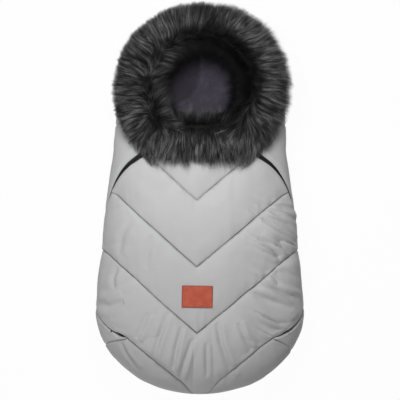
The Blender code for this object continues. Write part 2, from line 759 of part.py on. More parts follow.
# Elastic that draws the hood in round the face, on edge in its hem
elastic_rails = []
outer_hem = hem_line(ELASTIC_SETBACK + ELASTIC_THICK)
inner_hem = hem_line(ELASTIC_SETBACK)
elastic_top, elastic_bottom = WADDING_TOP + GAP, WADDING_BOTTOM - GAP
pairs = [(o, i, -1) for o, i in reversed(list(zip(outer_hem, inner_hem)))]
pairs += [(o, i, 1) for o, i in list(zip(outer_hem, inner_hem))[1:]]
for (s1, a1), (s2, a2), side in pairs:
    elastic_rails.append([skin(s1, side * a1, elastic_top), skin(s1, side * a1, elastic_bottom),
                          skin(s2, side * a2, elastic_bottom), skin(s2, side * a2, elastic_top)])
strip("hood_elastic", elastic_rails, elastic_white)

# Fur: swollen forms, seated on the bag by a cutter of the bag's own front
seat_rails = []
for j in range(SEAT_ROWS + 1):
    station = blend(SHOULDER_Y - BAND_HALF_LENGTH, HEAD_Y + HEAD_REACH - 2 * GAP, math.sin(QUARTER * j / SEAT_ROWS))
    rail = []
    for k in range(SEAT_COLUMNS):
        turn = FULL_TURN * k / SEAT_COLUMNS
        turn = turn - FULL_TURN if turn > HALF_TURN else turn
        rail.append(skin(station, turn, -FUR_CLEARANCE))
    seat_rails.append(rail)
seat = strip("bag_under_the_fur", seat_rails, fur)


def fur_ring_rails():
    """Cross-sections of the hood's fur, from the left end over the top to the right end."""
    rails = []
    for i in range(FUR_STATIONS + 1):
        turn = blend(-FUR_END_ANGLE, FUR_END_ANGLE, i / FUR_STATIONS)
        ray = Vector((math.sin(turn), math.cos(turn)))
        offset = Vector((0, FACE_Y - FUR_CENTRE_Y))
        drawn = ray.dot(offset)
        outer = -drawn + math.sqrt(drawn * drawn + FUR_RADIUS ** 2 - offset.dot(offset))
        middle, half = (outer + FUR_OPENING) / 2, (outer - FUR_OPENING) / 2
        end = min(1.0, (FUR_END_ANGLE - abs(turn)) / FUR_END_ROUND)
        swell = blend(FUR_END_SHARE, 1.0, math.sqrt(1 - (1 - end) ** 2))
        level = skin(FACE_Y, angle_at(FACE_Y, HEM_RADIUS)).z + FUR_LIFT
        rail = []
        for k in range(FUR_SIDES):
            a = FULL_TURN * k / FUR_SIDES
            reach = middle + half * swell * math.cos(a)
            spot = Vector((0, FACE_Y)) + ray * reach
            rail.append((spot.x, spot.y, level + FUR_CREST * swell * math.sin(a)))
        rails.append(rail)
    return rails


cut(strip("hood_fur_trim", fur_ring_rails(), fur), seat)


def fur_band_rails():
    """Cross-sections of the fur on the cover's top edge, from left to right."""
    rails = []
    for i in range(BAND_STATIONS + 1):
        across = -math.cos(HALF_TURN * i / BAND_STATIONS)
        swell = max(FUR_END_SHARE, math.sqrt(max(0.0, 1 - across ** BAND_ROUND_SHARE)))
        rail = []
        for k in range(FUR_SIDES):
            a = FULL_TURN * k / FUR_SIDES
            reach = BAND_HALF_WIDTH * swell * math.cos(a)
            x = across * (BAND_HALF_LENGTH - BAND_SLANT_SHARE * reach)
            level = skin(BAND_Y, angle_at(BAND_Y, x)).z + BAND_LIFT
            rail.append((x, BAND_Y + reach, level - BAND_CREST * swell * math.sin(a)))
        rails.append(rail)
    return rails


cut(strip("cover_fur_trim", fur_band_rails(), fur, FOLD_AXIS), seat)


# Zips


def tape(name, sign, side, origin):
    """One half of a zip: its tape, with the coil along the edge. The sign is 1 on the cover's half."""
    section = (
        (ZIP_GAP / 2, TAPE_BOTTOM), (ZIP_GAP / 2, COIL_TOP), (COIL_WIDTH, COIL_TOP),
        (COIL_WIDTH + GAP, TAPE_TOP), (TAPE_WIDTH, TAPE_TOP), (TAPE_WIDTH, TAPE_BOTTOM),
    )
    lines = [beside(route, sign * across) for across, _ in section]
    rails = []
    for i in range(len(route) - ZIP_STATIONS, len(route)):
        rail = []
        for line, (_, depth) in zip(lines, section):
            station, angle = line[i]
            rail.append(skin(station, side * angle, depth))
        rails.append(rail)
    return strip(name, rails, zip_black, origin)


ROOT = Vector((0, 0, 0))
for side, word in ((-1, "left"), (1, "right")):
    tape("zip_tape_cover_" + word, 1, side, FOLD_AXIS)
    tape("zip_tape_back_" + word, -1, side, ROOT)


def box_on(name, frame, low, high, material, origin):
    """A block between two corners of a local frame."""
    points = []
    for z in (low[2], high[2]):
        for x, y in ((low[0], low[1]), (high[0], low[1]), (high[0], high[1]), (low[0], high[1])):
            points.append(frame @ Vector((x, y, z)))
    faces = [(3, 2, 1, 0), (4, 5, 6, 7), (0, 1, 5, 4), (1, 2, 6, 5), (2, 3, 7, 6), (3, 0, 4, 7)]
    return solid(name, points, faces, material, origin, smooth=False)


def zip_frame(run, side):
    """A frame on the zip, this far from the fold line: X across it, Y up the zip, Z out of the cloth."""
    k = zip_index(run)
    along, normal, _, _, _ = cloth_frame(fine_line, k)
    place = skin(*fine_line[k])
    if side < 0:
        flip = Vector((-1, 1, 1))
        along, normal, place = along * flip, normal * flip, place * flip
    frame = Matrix((along.cross(normal), along, normal)).transposed().to_4x4()
    frame.translation = place
    return frame


SEAT_LEVEL = GAP - COIL_TOP
slider_run = min(fine_run, key=lambda run: abs(fine_line[zip_index(run)][0] - SLIDER_Y))
for side, word in ((-1, "left"), (1, "right")):
    frame = zip_frame(ZIP_START + STOP_INSET, side)
    box_on("zip_bottom_stop_" + word, frame, (-COIL_WIDTH, -STOP_LENGTH / 2, SEAT_LEVEL),
           (COIL_WIDTH, STOP_LENGTH / 2, SEAT_LEVEL + STOP_THICK), zip_metal, ROOT)
    frame = zip_frame(zip_length - TOP_STOP_INSET, side)
    # On the right the frame's X points away from the cover, and on the left towards it
    for half, inward, origin in (("cover", -side, FOLD_AXIS), ("back", side, ROOT)):
        low, high = sorted((inward * ZIP_GAP, inward * COIL_WIDTH))
        box_on("zip_top_stop_" + half + "_" + word, frame, (low, -STOP_LENGTH / 2, SEAT_LEVEL),
               (high, STOP_LENGTH / 2, SEAT_LEVEL + STOP_THICK), zip_metal, origin)


def arc_through(first, middle, last):
    """The centre and axis of the circle through three points."""
    u, v = middle - first, last - first
    axis = u.cross(v)
    centre = first + (axis.cross(u) * v.dot(v) + v.cross(axis) * u.dot(u)) / (2 * axis.dot(axis))
    return centre, axis.normalized()


def slider(side, word):
    """A slider on its zip, with the bridge that holds its pull tab. It turns about its arc's centre."""
    frame = zip_frame(slider_run, side)
    stops = [zip_frame(slider_run - SLIDER_TRAVEL * share, side).translation for share in (0, 1 / 2, 1)]
    centre, axis = arc_through(*stops)
    travel = (stops[0] - centre).angle(stops[2] - centre)
    low = SLIDER_CLEARANCE - COIL_TOP
    high = low + SLIDER_THICK
    half = SLIDER_LENGTH / 2
    right_side = ((SLIDER_TAIL / 2, -half), (SLIDER_TAIL / 2, -half / 4),
                  (SLIDER_HEAD / 2, half / 2), (SLIDER_HEAD / 4, half))
    outline = list(right_side) + [(-x, y) for x, y in reversed(right_side)]
    plate = strip("zip_slider_" + word, [[frame @ Vector((x, y, z)) for x, y in outline] for z in (low, high)],
                  zip_metal, centre)
    leg, top = CROWN_LENGTH / 2, CROWN_HEIGHT
    window, under = leg - CROWN_WALL, top - CROWN_WALL
    profile = ((-leg, -GAP), (-window, -GAP), (-window, under), (window, under),
               (window, -GAP), (leg, -GAP), (leg, top), (-leg, top))
    bridge = strip("bridge_" + word, [[frame @ Vector((x, y, high + z)) for y, z in profile]
                                      for x in (-CROWN_WIDTH / 2, CROWN_WIDTH / 2)], zip_metal)
    bridge.hide_render = True
    bridge.display_type = "WIRE"
    join = plate.modifiers.new("bridge", "BOOLEAN")
    join.operation = "UNION"
    join.solver = "EXACT"
    join.object = bridge
    for face in plate.data.polygons:
        face.use_smooth = False
    print(plate.name, "centre", list(centre), "axis", list(axis), "degrees", math.degrees(travel))
    return frame, high


def pull_tab(side, word, frame, level):
    """A flat tab whose bar turns in the slider's bridge. It lies up the zip, under the fur."""
    pivot = level + PULL_BAR / 2 + SLIDER_CLEARANCE
    eye = CROWN_WIDTH / 2 + SLIDER_CLEARANCE
    wide, bar = PULL_WIDTH / 2, PULL_BAR / 2
    outline = ((-wide, -bar), (wide, -bar), (wide, PULL_LENGTH - wide), (wide / 2, PULL_LENGTH),
               (-wide / 2, PULL_LENGTH), (-wide, PULL_LENGTH - wide))
    hole = ((-eye, bar), (eye, bar), (eye, PULL_EYE), (-eye, PULL_EYE))
    origin = frame @ Vector((0, 0, pivot))
    tab = strip("zip_pull_" + word, [[frame @ Vector((x, y, pivot + z)) for x, y in outline] for z in (-bar, bar)],
                zip_metal, origin)
    cutter = strip("pull_eye_" + word, [[frame @ Vector((x, y, pivot + z)) for x, y in hole]
                                        for z in (-CROWN_HEIGHT, CROWN_HEIGHT)], zip_metal)
    cut(tab, cutter)
    for face in tab.data.polygons:
        face.use_smooth = False
    print(tab.name, "pivot", list(origin), "axis", list((frame.to_3x3() @ Vector((1, 0, 0)))))


for side, word in ((-1, "left"), (1, "right")):
    frame, level = slider(side, word)
    pull_tab(side, word, frame, level)

print("fold axis", list(FOLD_AXIS))
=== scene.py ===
# %% [markdown]
# # Padded footmuff with a fur-trimmed hood
# The bag lies on its back, head towards +Y, front up, and is seen from straight above, as in the photograph.
# The frame gives the solids and the bodies that move; everything below is what they look like.

# %% Load the frame
import math
from math import radians
import bpy
import bmesh
import numpy as np
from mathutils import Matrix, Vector


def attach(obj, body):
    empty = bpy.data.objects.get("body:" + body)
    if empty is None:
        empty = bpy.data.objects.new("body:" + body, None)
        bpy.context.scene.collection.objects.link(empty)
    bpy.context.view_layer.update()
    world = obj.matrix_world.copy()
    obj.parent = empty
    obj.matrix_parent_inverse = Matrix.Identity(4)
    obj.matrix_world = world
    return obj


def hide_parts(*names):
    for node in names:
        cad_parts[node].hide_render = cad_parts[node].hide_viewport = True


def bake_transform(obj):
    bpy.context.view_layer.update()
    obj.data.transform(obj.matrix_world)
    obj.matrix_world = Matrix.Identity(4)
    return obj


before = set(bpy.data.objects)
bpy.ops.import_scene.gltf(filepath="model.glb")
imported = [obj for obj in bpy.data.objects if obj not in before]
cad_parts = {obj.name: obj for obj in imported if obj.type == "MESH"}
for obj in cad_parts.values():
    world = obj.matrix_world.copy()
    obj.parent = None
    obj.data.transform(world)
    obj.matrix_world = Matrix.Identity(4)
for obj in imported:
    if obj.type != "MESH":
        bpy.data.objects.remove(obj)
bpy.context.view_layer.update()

# %% [markdown]
# ## Sizes
# The same sizes that the solids are made from, so that the cloth lies where the solids are.
# Places read off the photograph are in its pixels: one pixel is 2.372 mm, and its middle is the origin.

# %% Sizes of the bag
QUARTER, HALF_TURN, FULL_TURN = math.pi / 2, math.pi, 2 * math.pi
TOE_Y, WIDEST_Y, WIDEST_HALF = -0.461, -0.2609, 0.2467
SHOULDER_Y, SHOULDER_HALF, HOOD_Y = 0.1186, 0.2052, 0.1767
HEAD_Y, HEAD_HALF, HEAD_REACH = 0.250, 0.198, 0.190
SIDE_HEIGHT, CHEST_HEIGHT, LEG_HEIGHT, LEG_Y = 0.050, 0.118, 0.131, -0.150
TOE_NOSE, TOE_FLUSH, HEAD_NOSE, CORNER_ANGLE = 0.150, 0.030, 0.085, radians(150)
CORNER_SHARE, ROUNDNESS = 0.73, 0.8
CHEVRON_APEX_Y, CHEVRON_PITCH, CHEVRON_SLOPE = -0.0012, 0.1574, 0.82
APEX_X, LEFT_SLOPE, RIGHT_SLOPE = -0.0075, 0.865, 0.81
TOE_SEAM_Y = CHEVRON_APEX_Y - 3 * CHEVRON_PITCH
TOE_PANEL_END = TOE_Y + 0.004
FOLD_Y, FOLD_Z = -0.3285, 0.1308
FACE_Y, HEM_RADIUS = 0.270, 0.124
FUR_CENTRE_Y, FUR_RADIUS, FUR_OPENING = 0.2562, 0.2048, 0.078
ZIP_START, ZIP_SHOWS, ZIP_CLOSES = 0.036, 0.005, 0.012
PAD_THICK = 0.0136
# A hair between pieces that meet along the bag, and a turn between those that meet at the toe seam.
HAIR, SEAM_TURN = 0.0002, 0.003
PIXEL, PHOTO_MIDDLE = 0.002372, 200
zip_route = (
    (0.069, 0.74), (0.128, 0.94), (0.168, 1.05), (0.266, 1.15), (0.464, 1.15), (0.562, 1.05), (0.641, 0.925),
    (0.710, 0.800), (0.765, 0.690), (0.813, 0.575), (0.864, 0.420), (0.931, 0.300), (1.0, 0.213),
)


def from_photo(px, py):
    """A place in the photograph, in metres from its middle."""
    return (px - PHOTO_MIDDLE) * PIXEL, (PHOTO_MIDDLE - py) * PIXEL


def ease(share):
    share = np.clip(share, 0, 1)
    return share * share * (3 - 2 * share)


def mix(low, high, share):
    return low + (high - low) * share


def bell(x, width, centre=0.0):
    """1 at the centre, and next to nothing two widths away."""
    return np.exp(-((x - centre) / width) ** 2)


def unit(v):
    return v / np.maximum(np.linalg.norm(v, axis=-1, keepdims=True), 1e-9)


# %% [markdown]
# ## The bag's surface
# One formula gives every point of the bag: how far along it is, how far round, and how deep under the outer face.
# Padded cloth is made from it by changing the depth: less over a swollen channel, more at a seam.

# %% The surface
def signed(a):
    """Angles past half a turn, counted from the other side."""
    return np.where(a > HALF_TURN, a - FULL_TURN, a)


def from_front(a):
    """How far round from the front's middle line, by the shorter way."""
    return np.minimum(a, FULL_TURN - a)


def plan(s, d):
    toe = np.clip((WIDEST_Y - s) / (WIDEST_Y - TOE_Y), 0, 1)
    head = np.clip((s - HEAD_Y) / HEAD_REACH, 0, 1)
    y = np.where(s < WIDEST_Y, WIDEST_Y - (WIDEST_Y - TOE_Y - d) * toe,
                 np.where(s > HEAD_Y, HEAD_Y + (HEAD_REACH - d) * head, s))
    taper = np.clip((s - WIDEST_Y) / (SHOULDER_Y - WIDEST_Y), 0, 1) ** 1.4
    body = mix(WIDEST_HALF, SHOULDER_HALF, taper) - d
    upper = mix(SHOULDER_HALF, HEAD_HALF, ease((s - SHOULDER_Y) / (HEAD_Y - SHOULDER_Y))) - d
    half = np.where(s < SHOULDER_Y, body, upper)
    half = np.where(s < WIDEST_Y, (WIDEST_HALF - d) * np.sqrt(1 - toe ** 2), half)
    return y, np.where(s > HEAD_Y, (HEAD_HALF - d) * np.sqrt(1 - head ** 2), half)


def skin(s, a, d=0.0):
    """Points of the bag. The angle is 0 on the front's middle line and half a turn on the back's."""
    s, a, d = np.broadcast_arrays(np.asarray(s, float), np.asarray(a, float), np.asarray(d, float))
    y, half = plan(s, d)
    top = mix(CHEST_HEIGHT, LEG_HEIGHT, ease((HOOD_Y - s) / (HOOD_Y - LEG_Y)))
    near_end = np.minimum((s - TOE_Y) / TOE_NOSE, (HEAD_Y + HEAD_REACH - s) / HEAD_NOSE)
    opened = np.sqrt(np.clip(1 - (1 - np.clip(near_end, 0, 1)) ** 2, 0, None))
    rise, drop = (top - SIDE_HEIGHT - d) * opened, (SIDE_HEIGHT - d) * opened
    a = signed(a)
    turn = np.minimum(np.abs(a), HALF_TURN)
    bend = np.clip(QUARTER * (CORNER_ANGLE - turn) / (CORNER_ANGLE - QUARTER), 0, QUARTER)
    x_front = half * np.clip(np.sin(turn), 0, 1) ** ROUNDNESS
    z_front = SIDE_HEIGHT + rise * np.clip(np.cos(turn), 0, 1) ** ROUNDNESS
    x_corner = half * (CORNER_SHARE + (1 - CORNER_SHARE) * np.sin(bend))
    z_corner = SIDE_HEIGHT - drop * np.cos(bend)
    x_back = half * CORNER_SHARE * (HALF_TURN - turn) / (HALF_TURN - CORNER_ANGLE)
    x = np.where(turn <= QUARTER, x_front, np.where(turn < CORNER_ANGLE, x_corner, x_back))
    z = np.where(turn <= QUARTER, z_front, np.where(turn < CORNER_ANGLE, z_corner, SIDE_HEIGHT - drop))
    return np.stack([np.where(a >= 0, x, -x), y, z], -1)


def angle_at(s, x):
    half = np.maximum(plan(np.asarray(s, float), 0.0)[1], 1e-6)
    return np.arcsin(np.clip(np.abs(x) / half, 0, 1) ** (1 / ROUNDNESS))


def toe_seam_angle(s):
    return angle_at(s, (s - TOE_SEAM_Y) / CHEVRON_SLOPE)


def hem_angle(s):
    """Where the hood's hem crosses a station; 0 above the face opening."""
    return angle_at(s, np.sqrt(np.clip(HEM_RADIUS ** 2 - (s - FACE_Y) ** 2, 0, None)))


# %% [markdown]
# ## The zips' lines
# Each zip leaves the notch beside the foot, runs down round the side and climbs to the fur.
# The cloth's edges meet over its lower part and draw apart where the photograph shows the black tape: high up on
# both sides, at the left notch, and beyond the second chevron's end on the right.
# A smooth curve through the route's places is moved sideways over the cloth to give the edges on both its sides.

# %% The zips' lines
def smooth_curve(places, count):
    p = np.array([places[0]] + list(places) + [places[-1]], float)
    p[0], p[-1] = 2 * p[1] - p[2], 2 * p[-2] - p[-3]
    u = np.linspace(0, len(places) - 1, count)
    i = np.minimum(u.astype(int), len(places) - 2)
    t = (u - i)[:, None]
    a, b, c, d = p[i], p[i + 1], p[i + 2], p[i + 3]
    return 0.5 * (2 * b + (c - a) * t + (2 * a - 5 * b + 4 * c - d) * t ** 2 + (3 * b - a - 3 * c + d) * t ** 3)


route = [(FOLD_Y, float(toe_seam_angle(FOLD_Y)))]
route += [(mix(FOLD_Y, HOOD_Y, along), turn * QUARTER) for along, turn in zip_route]
zip_s, zip_a = smooth_curve(route, 401).T
zip_points = skin(zip_s, zip_a)
zip_run = np.concatenate([[0], np.cumsum(np.linalg.norm(np.diff(zip_points, axis=0), axis=1))])
zip_share = zip_run / zip_run[-1]


def beside(distance):
    """Stations and angles of the zip's line moved over the cloth, towards the cover's middle where positive."""
    step = 0.001
    along = unit(np.gradient(zip_points, axis=0))
    by_s = (skin(zip_s + step, zip_a) - skin(zip_s - step, zip_a)) / (2 * step)
    by_a = (skin(zip_s, zip_a + step) - skin(zip_s, zip_a - step)) / (2 * step)
    inward = unit(np.cross(np.cross(by_a, by_s), along))
    inward = np.where((inward * by_a).sum(-1, keepdims=True) > 0, -inward, inward)
    size = np.maximum(np.abs(distance) * ease(zip_run / ZIP_CLOSES), np.minimum(np.abs(distance), 0.0003))
    move = inward * np.copysign(size, distance)[:, None]
    a, b, c = (by_s * by_s).sum(-1), (by_s * by_a).sum(-1), (by_a * by_a).sum(-1)
    p, q = (by_s * move).sum(-1), (by_a * move).sum(-1)
    scale = a * c - b * b
    return zip_s + (p * c - q * b) / scale, zip_a + (q * a - p * b) / scale


def edge_function(distance):
    s, a = beside(distance)
    order = np.argsort(s)
    return lambda station: np.interp(station, s[order], a[order])


zip_shows = ZIP_SHOWS * mix(0.12, 1.85, np.clip((zip_share - 0.56) / 0.38, 0, 1))
left_shows = zip_shows + 0.0030 * bell(zip_run, 0.013, 0.021)
right_shows = zip_shows + 0.0062 * bell(zip_run, 0.023, 0.388)
cover_edge = {-1: edge_function(left_shows), 1: edge_function(right_shows)}
tray_edge = {-1: edge_function(-left_shows), 1: edge_function(-0.7 * zip_shows)}
print("zip length", round(float(zip_run[-1]), 3))


def from_edge(points):
    """How far points on the bag lie from the cloth's edge beside the nearer zip."""
    q = np.concatenate([np.abs(points[..., :1]), points[..., 1:]], -1).reshape(-1, 3)
    far = []
    for some in np.array_split(q, len(q) // 4000 + 1):
        gaps = np.linalg.norm(some[:, None, :] - zip_points[None, ::2], axis=-1) - zip_shows[None, ::2]
        far.append(gaps.min(1))
    return np.maximum(np.concatenate(far), 0).reshape(points.shape[:-1])


# %% [markdown]
# ## Noise and creases
# Cloth is never even. A smooth noise with a fixed seed gives slow swells and small puckers, and the folds that the
# photograph shows are laid in one by one, as lines in its pixels.

# %% Noise and creases
random_table = np.random.RandomState(7).uniform(-1, 1, 8192)


def noise(points, size, seed=0):
    """Smooth noise from -1 to 1 at the points, with swells of about this size."""
    q = np.asarray(points) / size + seed * 17.13
    cell = np.floor(q).astype(np.int64)
    f = q - cell
    f = f * f * (3 - 2 * f)
    total = 0
    for corner in range(8):
        bits = np.array([corner & 1, corner >> 1 & 1, corner >> 2 & 1])
        key = ((cell + bits) * np.array([73856093, 19349663, 83492791])).sum(-1) % 8192
        total = total + np.where(bits == 1, f, 1 - f).prod(-1) * random_table[key]
    return total


def noise_over(seed, *measures):
    """The same noise over one or two measures that are already divided by their sizes."""
    measures = np.broadcast_arrays(*measures, *[0.0] * (3 - len(measures)))
    return noise(np.stack(measures, -1), 1.0, seed)


def layers(points, *sizes):
    """Layers of noise on one another, each with a size, a height and a seed."""
    return sum(noise(points, size, seed) * height for size, height, seed in sizes)


def to_line(points, line):
    """Distance to a line of photo pixels, and the side of it and how far along it the nearest place is."""
    path = np.array([from_photo(*p) for p in line])
    lengths = np.linalg.norm(np.diff(path, axis=0), axis=1)
    runs = np.concatenate([[0], np.cumsum(lengths)])
    best = np.full(points.shape[:-1], 1e9)
    side, share = np.zeros_like(best), np.zeros_like(best)
    for k in range(len(path) - 1):
        way = path[k + 1] - path[k]
        to = points[..., :2] - path[k]
        t = np.clip((to * way).sum(-1) / (way * way).sum(), 0, 1)
        distance = np.linalg.norm(to - t[..., None] * way, axis=-1)
        nearer = distance < best
        best = np.where(nearer, distance, best)
        side = np.where(nearer, np.sign(way[0] * to[..., 1] - way[1] * to[..., 0]), side)
        share = np.where(nearer, (runs[k] + t * lengths[k]) / runs[-1], share)
    return best, side, share


def crease(points, line, depth, width):
    """How far a crease along a line draws the cloth in, and swells it beside itself."""
    away, side, share = to_line(points, line)
    strength = depth * np.sqrt(np.clip(4 * share * (1 - share), 0, 1)) ** 0.7
    bank = 0.75 * bell(away, 1.3 * width, 2.2 * width) * np.where(side > 0, 1.0, 0.45)
    return strength * (bell(away, width) - bank)


# Each crease: its line in the photograph's pixels, its depth and its width.
cover_creases = [
    (((168, 312), (160, 335), (153, 358)), 0.0038, 0.0052), (((182, 326), (177, 345), (173, 368)), 0.0042, 0.0048),
    (((192, 338), (185, 360), (177, 386)), 0.0042, 0.0050), (((217, 322), (221, 343), (234, 378)), 0.0042, 0.0054),
    (((206, 342), (207, 376)), 0.0030, 0.0044), (((199.5, 308), (200, 330)), 0.0022, 0.0036),
    (((262, 219), (280, 231), (300, 245)), 0.0044, 0.0052), (((258, 238), (268, 245), (282, 256)), 0.0034, 0.0052),
    (((270, 208), (284, 215), (298, 222)), 0.0038, 0.0046), (((274, 204), (296, 209)), 0.0028, 0.0040),
    (((248, 291), (268, 299), (292, 308)), 0.0040, 0.0054), (((262, 284), (274, 289), (292, 298)), 0.0032, 0.0046),
    (((116, 266), (113, 276), (113, 288)), 0.0030, 0.0050), (((97, 304), (108, 306), (124, 301)), 0.0056, 0.0088),
    (((238, 322), (244, 336), (253, 350)), 0.0032, 0.0052), (((148, 312), (143, 324), (136, 338)), 0.0030, 0.0056),
    (((132, 218), (122, 236), (118, 254)), 0.0024, 0.0070), (((152, 236), (148, 250), (146, 268)), 0.0022, 0.0076),
    (((120, 341), (126, 353), (138, 369)), 0.0030, 0.0036),
]


def pinched(wave):
    """Turns an even wave into rounded ridges between sharp valleys, as gathered cloth lies."""
    return 0.55 - np.abs(wave) ** 0.75 * 1.5


def soft_folds(p):
    """The waves that gathered cloth falls into: a fan below the third chevron, and slanting ones at the sides."""
    px, py = p[..., 0] / PIXEL, PHOTO_MIDDLE - p[..., 1] / PIXEL
    fan_x, fan_y = px - 2, py - 238
    turn, away = np.arctan2(fan_x, np.maximum(fan_y, 1)), np.hypot(fan_x, fan_y)
    fan = pinched(noise_over(31, turn / 0.150, away / 70))
    fan = fan * ease((away - 78) / 30) * ease((165 - away) / 40) * ease((0.80 - np.abs(turn)) / 0.3)
    right = pinched(noise_over(32, (py - px * 0.52) / 5.4, px / 34)) * ease((px - 40) / 34)
    left = pinched(noise_over(33, (py + px * 0.35) / 11.0, px / 40)) * ease((-px - 55) / 35) * 0.55
    return fan * 0.0042 + (right * 0.0072 + left * 0.0040) * ease((py - 186) / 30)


# %% [markdown]
# ## The quilting
# The cover is a sandwich of cloth and wadding, sewn through along chevrons, so each channel swells between its two
# seams. The swell rises steeply at a seam and is nearly level along its crest, and gathers pucker the seam's sides.

# %% The quilting
SWELL_HEIGHT, CREST_FLATNESS, NEEDLE_DEPTH, NEEDLE_WIDTH = 0.0096, 0.38, 0.0028, 0.0016
GATHERS_START, GATHERS_END = 0.0025, 0.020
COVER_ROLL, BACK_ROLL, ROLL_WIDTH = 0.0022, 0.0020, 0.009
PATCH_HALF_WIDTH, PATCH_HALF_HEIGHT, PATCH_MARGIN = 0.034, 0.024, 0.016
patch_x, patch_y = -0.0064, -0.2275


def rising(x, y):
    """How far up the chevrons a place lies. The sewn lines meet left of the middle, with the left arms steeper."""
    wander = noise_over(61, x / 0.034, y / 0.09) * 0.0009
    even = y - CHEVRON_SLOPE * np.abs(x)
    uneven = y - np.where(x < APEX_X, LEFT_SLOPE * (APEX_X - x), RIGHT_SLOPE * (x - APEX_X))
    return mix(even, uneven + wander, ease((even - TOE_SEAM_Y - 0.03) / 0.08))


def chevrons(p):
    """The chevron row of each place, whole numbers on the seams, and the distance to the nearest seam."""
    row = (rising(p[..., 0], p[..., 1]) - CHEVRON_APEX_Y) / CHEVRON_PITCH
    return row, np.abs(row - np.round(row)) * CHEVRON_PITCH / math.hypot(1, CHEVRON_SLOPE)


def seam_shows(s, row):
    """0 where the toe seam's line would run on above the notches, over the cover's own cloth; the first is faint."""
    first = 0.62 + 0.38 * ease((-0.5 - row) / 0.1)
    return first * (1 - ease((s - FOLD_Y + 0.001) / 0.004) * ease((-2.55 - row) / 0.2))


def quilting(s, a, on_cover=True):
    """How deep the outer cloth lies under the smooth bag at each place, in metres."""
    p = skin(s, a)
    x, y = p[..., 0], p[..., 1]
    row, to_seam = chevrons(p)
    edge = from_edge(p)
    beside_patch = np.maximum(np.abs(x - patch_x) - PATCH_HALF_WIDTH, 0)
    above_patch = np.maximum(np.abs(y - patch_y) - PATCH_HALF_HEIGHT, 0)
    free = 1 - ease(1 - (beside_patch + above_patch) / PATCH_MARGIN)
    dip = SWELL_HEIGHT * (1 - np.abs(np.sin(HALF_TURN * row)) ** CREST_FLATNESS) * free
    groove = NEEDLE_DEPTH * bell(to_seam, NEEDLE_WIDTH) * (0.75 + 0.45 * noise(p, 0.013, 63))
    above = ease((s - FOLD_Y) / 0.02)
    if on_cover:
        dip = dip * (1 - ease((s - FOLD_Y) / 0.06) * ease((-2.45 - row) / 0.35))
        dip = dip * mix(1, mix(0.12, 1.0, ease(edge / 0.024)), above)
        groove = groove * mix(1, mix(0.20, 1.0, ease(edge / 0.014)), above) * seam_shows(s, row)
        dip = dip + above * COVER_ROLL * (1 - ease(edge / ROLL_WIDTH))
    else:
        dip = dip * (1 - ease((np.abs(a) - radians(58)) / radians(30)))
    dip = (dip + groove) * ease((s - TOE_Y) / TOE_FLUSH)
    along = np.stack([np.abs(x) * 1.29, np.sign(x) * 3 + np.floor(row) * 2, to_seam * 0.22], -1)
    gathers = layers(along, (0.0105, 0.0011, 1), (0.019, 0.0014, 2))
    dip = dip + gathers * np.exp(-to_seam / GATHERS_END) * (1 - np.exp(-to_seam / GATHERS_START)) * free
    off_toe_seam = np.where(row < -2.5, ease(np.abs(row + 3) * CHEVRON_PITCH / 0.020), 1)
    folds = soft_folds(p) * off_toe_seam * (1.0 if on_cover else 0.12)
    folds = folds * ease((radians(84) - np.abs(a)) / radians(26)) * (1 - bell(to_seam, 0.009))
    swells = layers(p, (0.085, 0.0022, 3), (0.041, 0.0013, 4), (0.018, 0.0005, 5)) + folds
    front = ease((radians(100) - np.abs(a)) / radians(22))
    let = front * free * off_toe_seam * np.exp(-((NEEDLE_WIDTH / (to_seam + 1e-4)) ** 2))
    for line, depth, width in cover_creases:
        dip = dip + crease(p, line, depth, width) * let
    inside = ease(edge / 0.018) if on_cover else 1.0
    return dip + swells * free * mix(1, inside, above)


# %% [markdown]
# ## Padded pieces from grids
# A grid of points for the outer cloth and one for the lining are closed by rims along their free edges: each piece is
# one sealed, stuffed form. The cloth faces take the cloth's finish and the inner faces the fleece.

# %% Padded pieces from grids
def mesh_object(name, points, faces, finishes, slots=None, smooth=True, edges=()):
    mesh = bpy.data.meshes.new(name)
    mesh.from_pydata(np.asarray(points).reshape(-1, 3).tolist(), edges, faces)
    for finish in finishes:
        mesh.materials.append(finish)
    if slots is not None:
        mesh.polygons.foreach_set("material_index", slots)
    mesh.polygons.foreach_set("use_smooth", [smooth] * len(mesh.polygons))
    thing = bpy.data.objects.new(name, mesh)
    bpy.context.scene.collection.objects.link(thing)
    return thing


def quads(index):
    """The faces between neighbouring rows and columns of points."""
    return np.stack([index[:-1, :-1], index[:-1, 1:], index[1:, 1:], index[1:, :-1]], -1).reshape(-1, 4)


def seal(thing, join=True):
    """Turn every face outwards, once the points that coincide are joined."""
    shape = bmesh.new()
    shape.from_mesh(thing.data)
    if join:
        bmesh.ops.remove_doubles(shape, verts=shape.verts, dist=0.00002)
    bmesh.ops.recalc_face_normals(shape, faces=shape.faces)
    shape.to_mesh(thing.data)
    shape.free()


def keep(thing, label, values, kind="FLOAT", field="value"):
    """Store a value at each point, for the finishes and the trees to read."""
    stored = thing.data.attributes.new(label, kind, "POINT")
    stored.data.foreach_set(field, np.asarray(values).ravel().astype(np.float32))


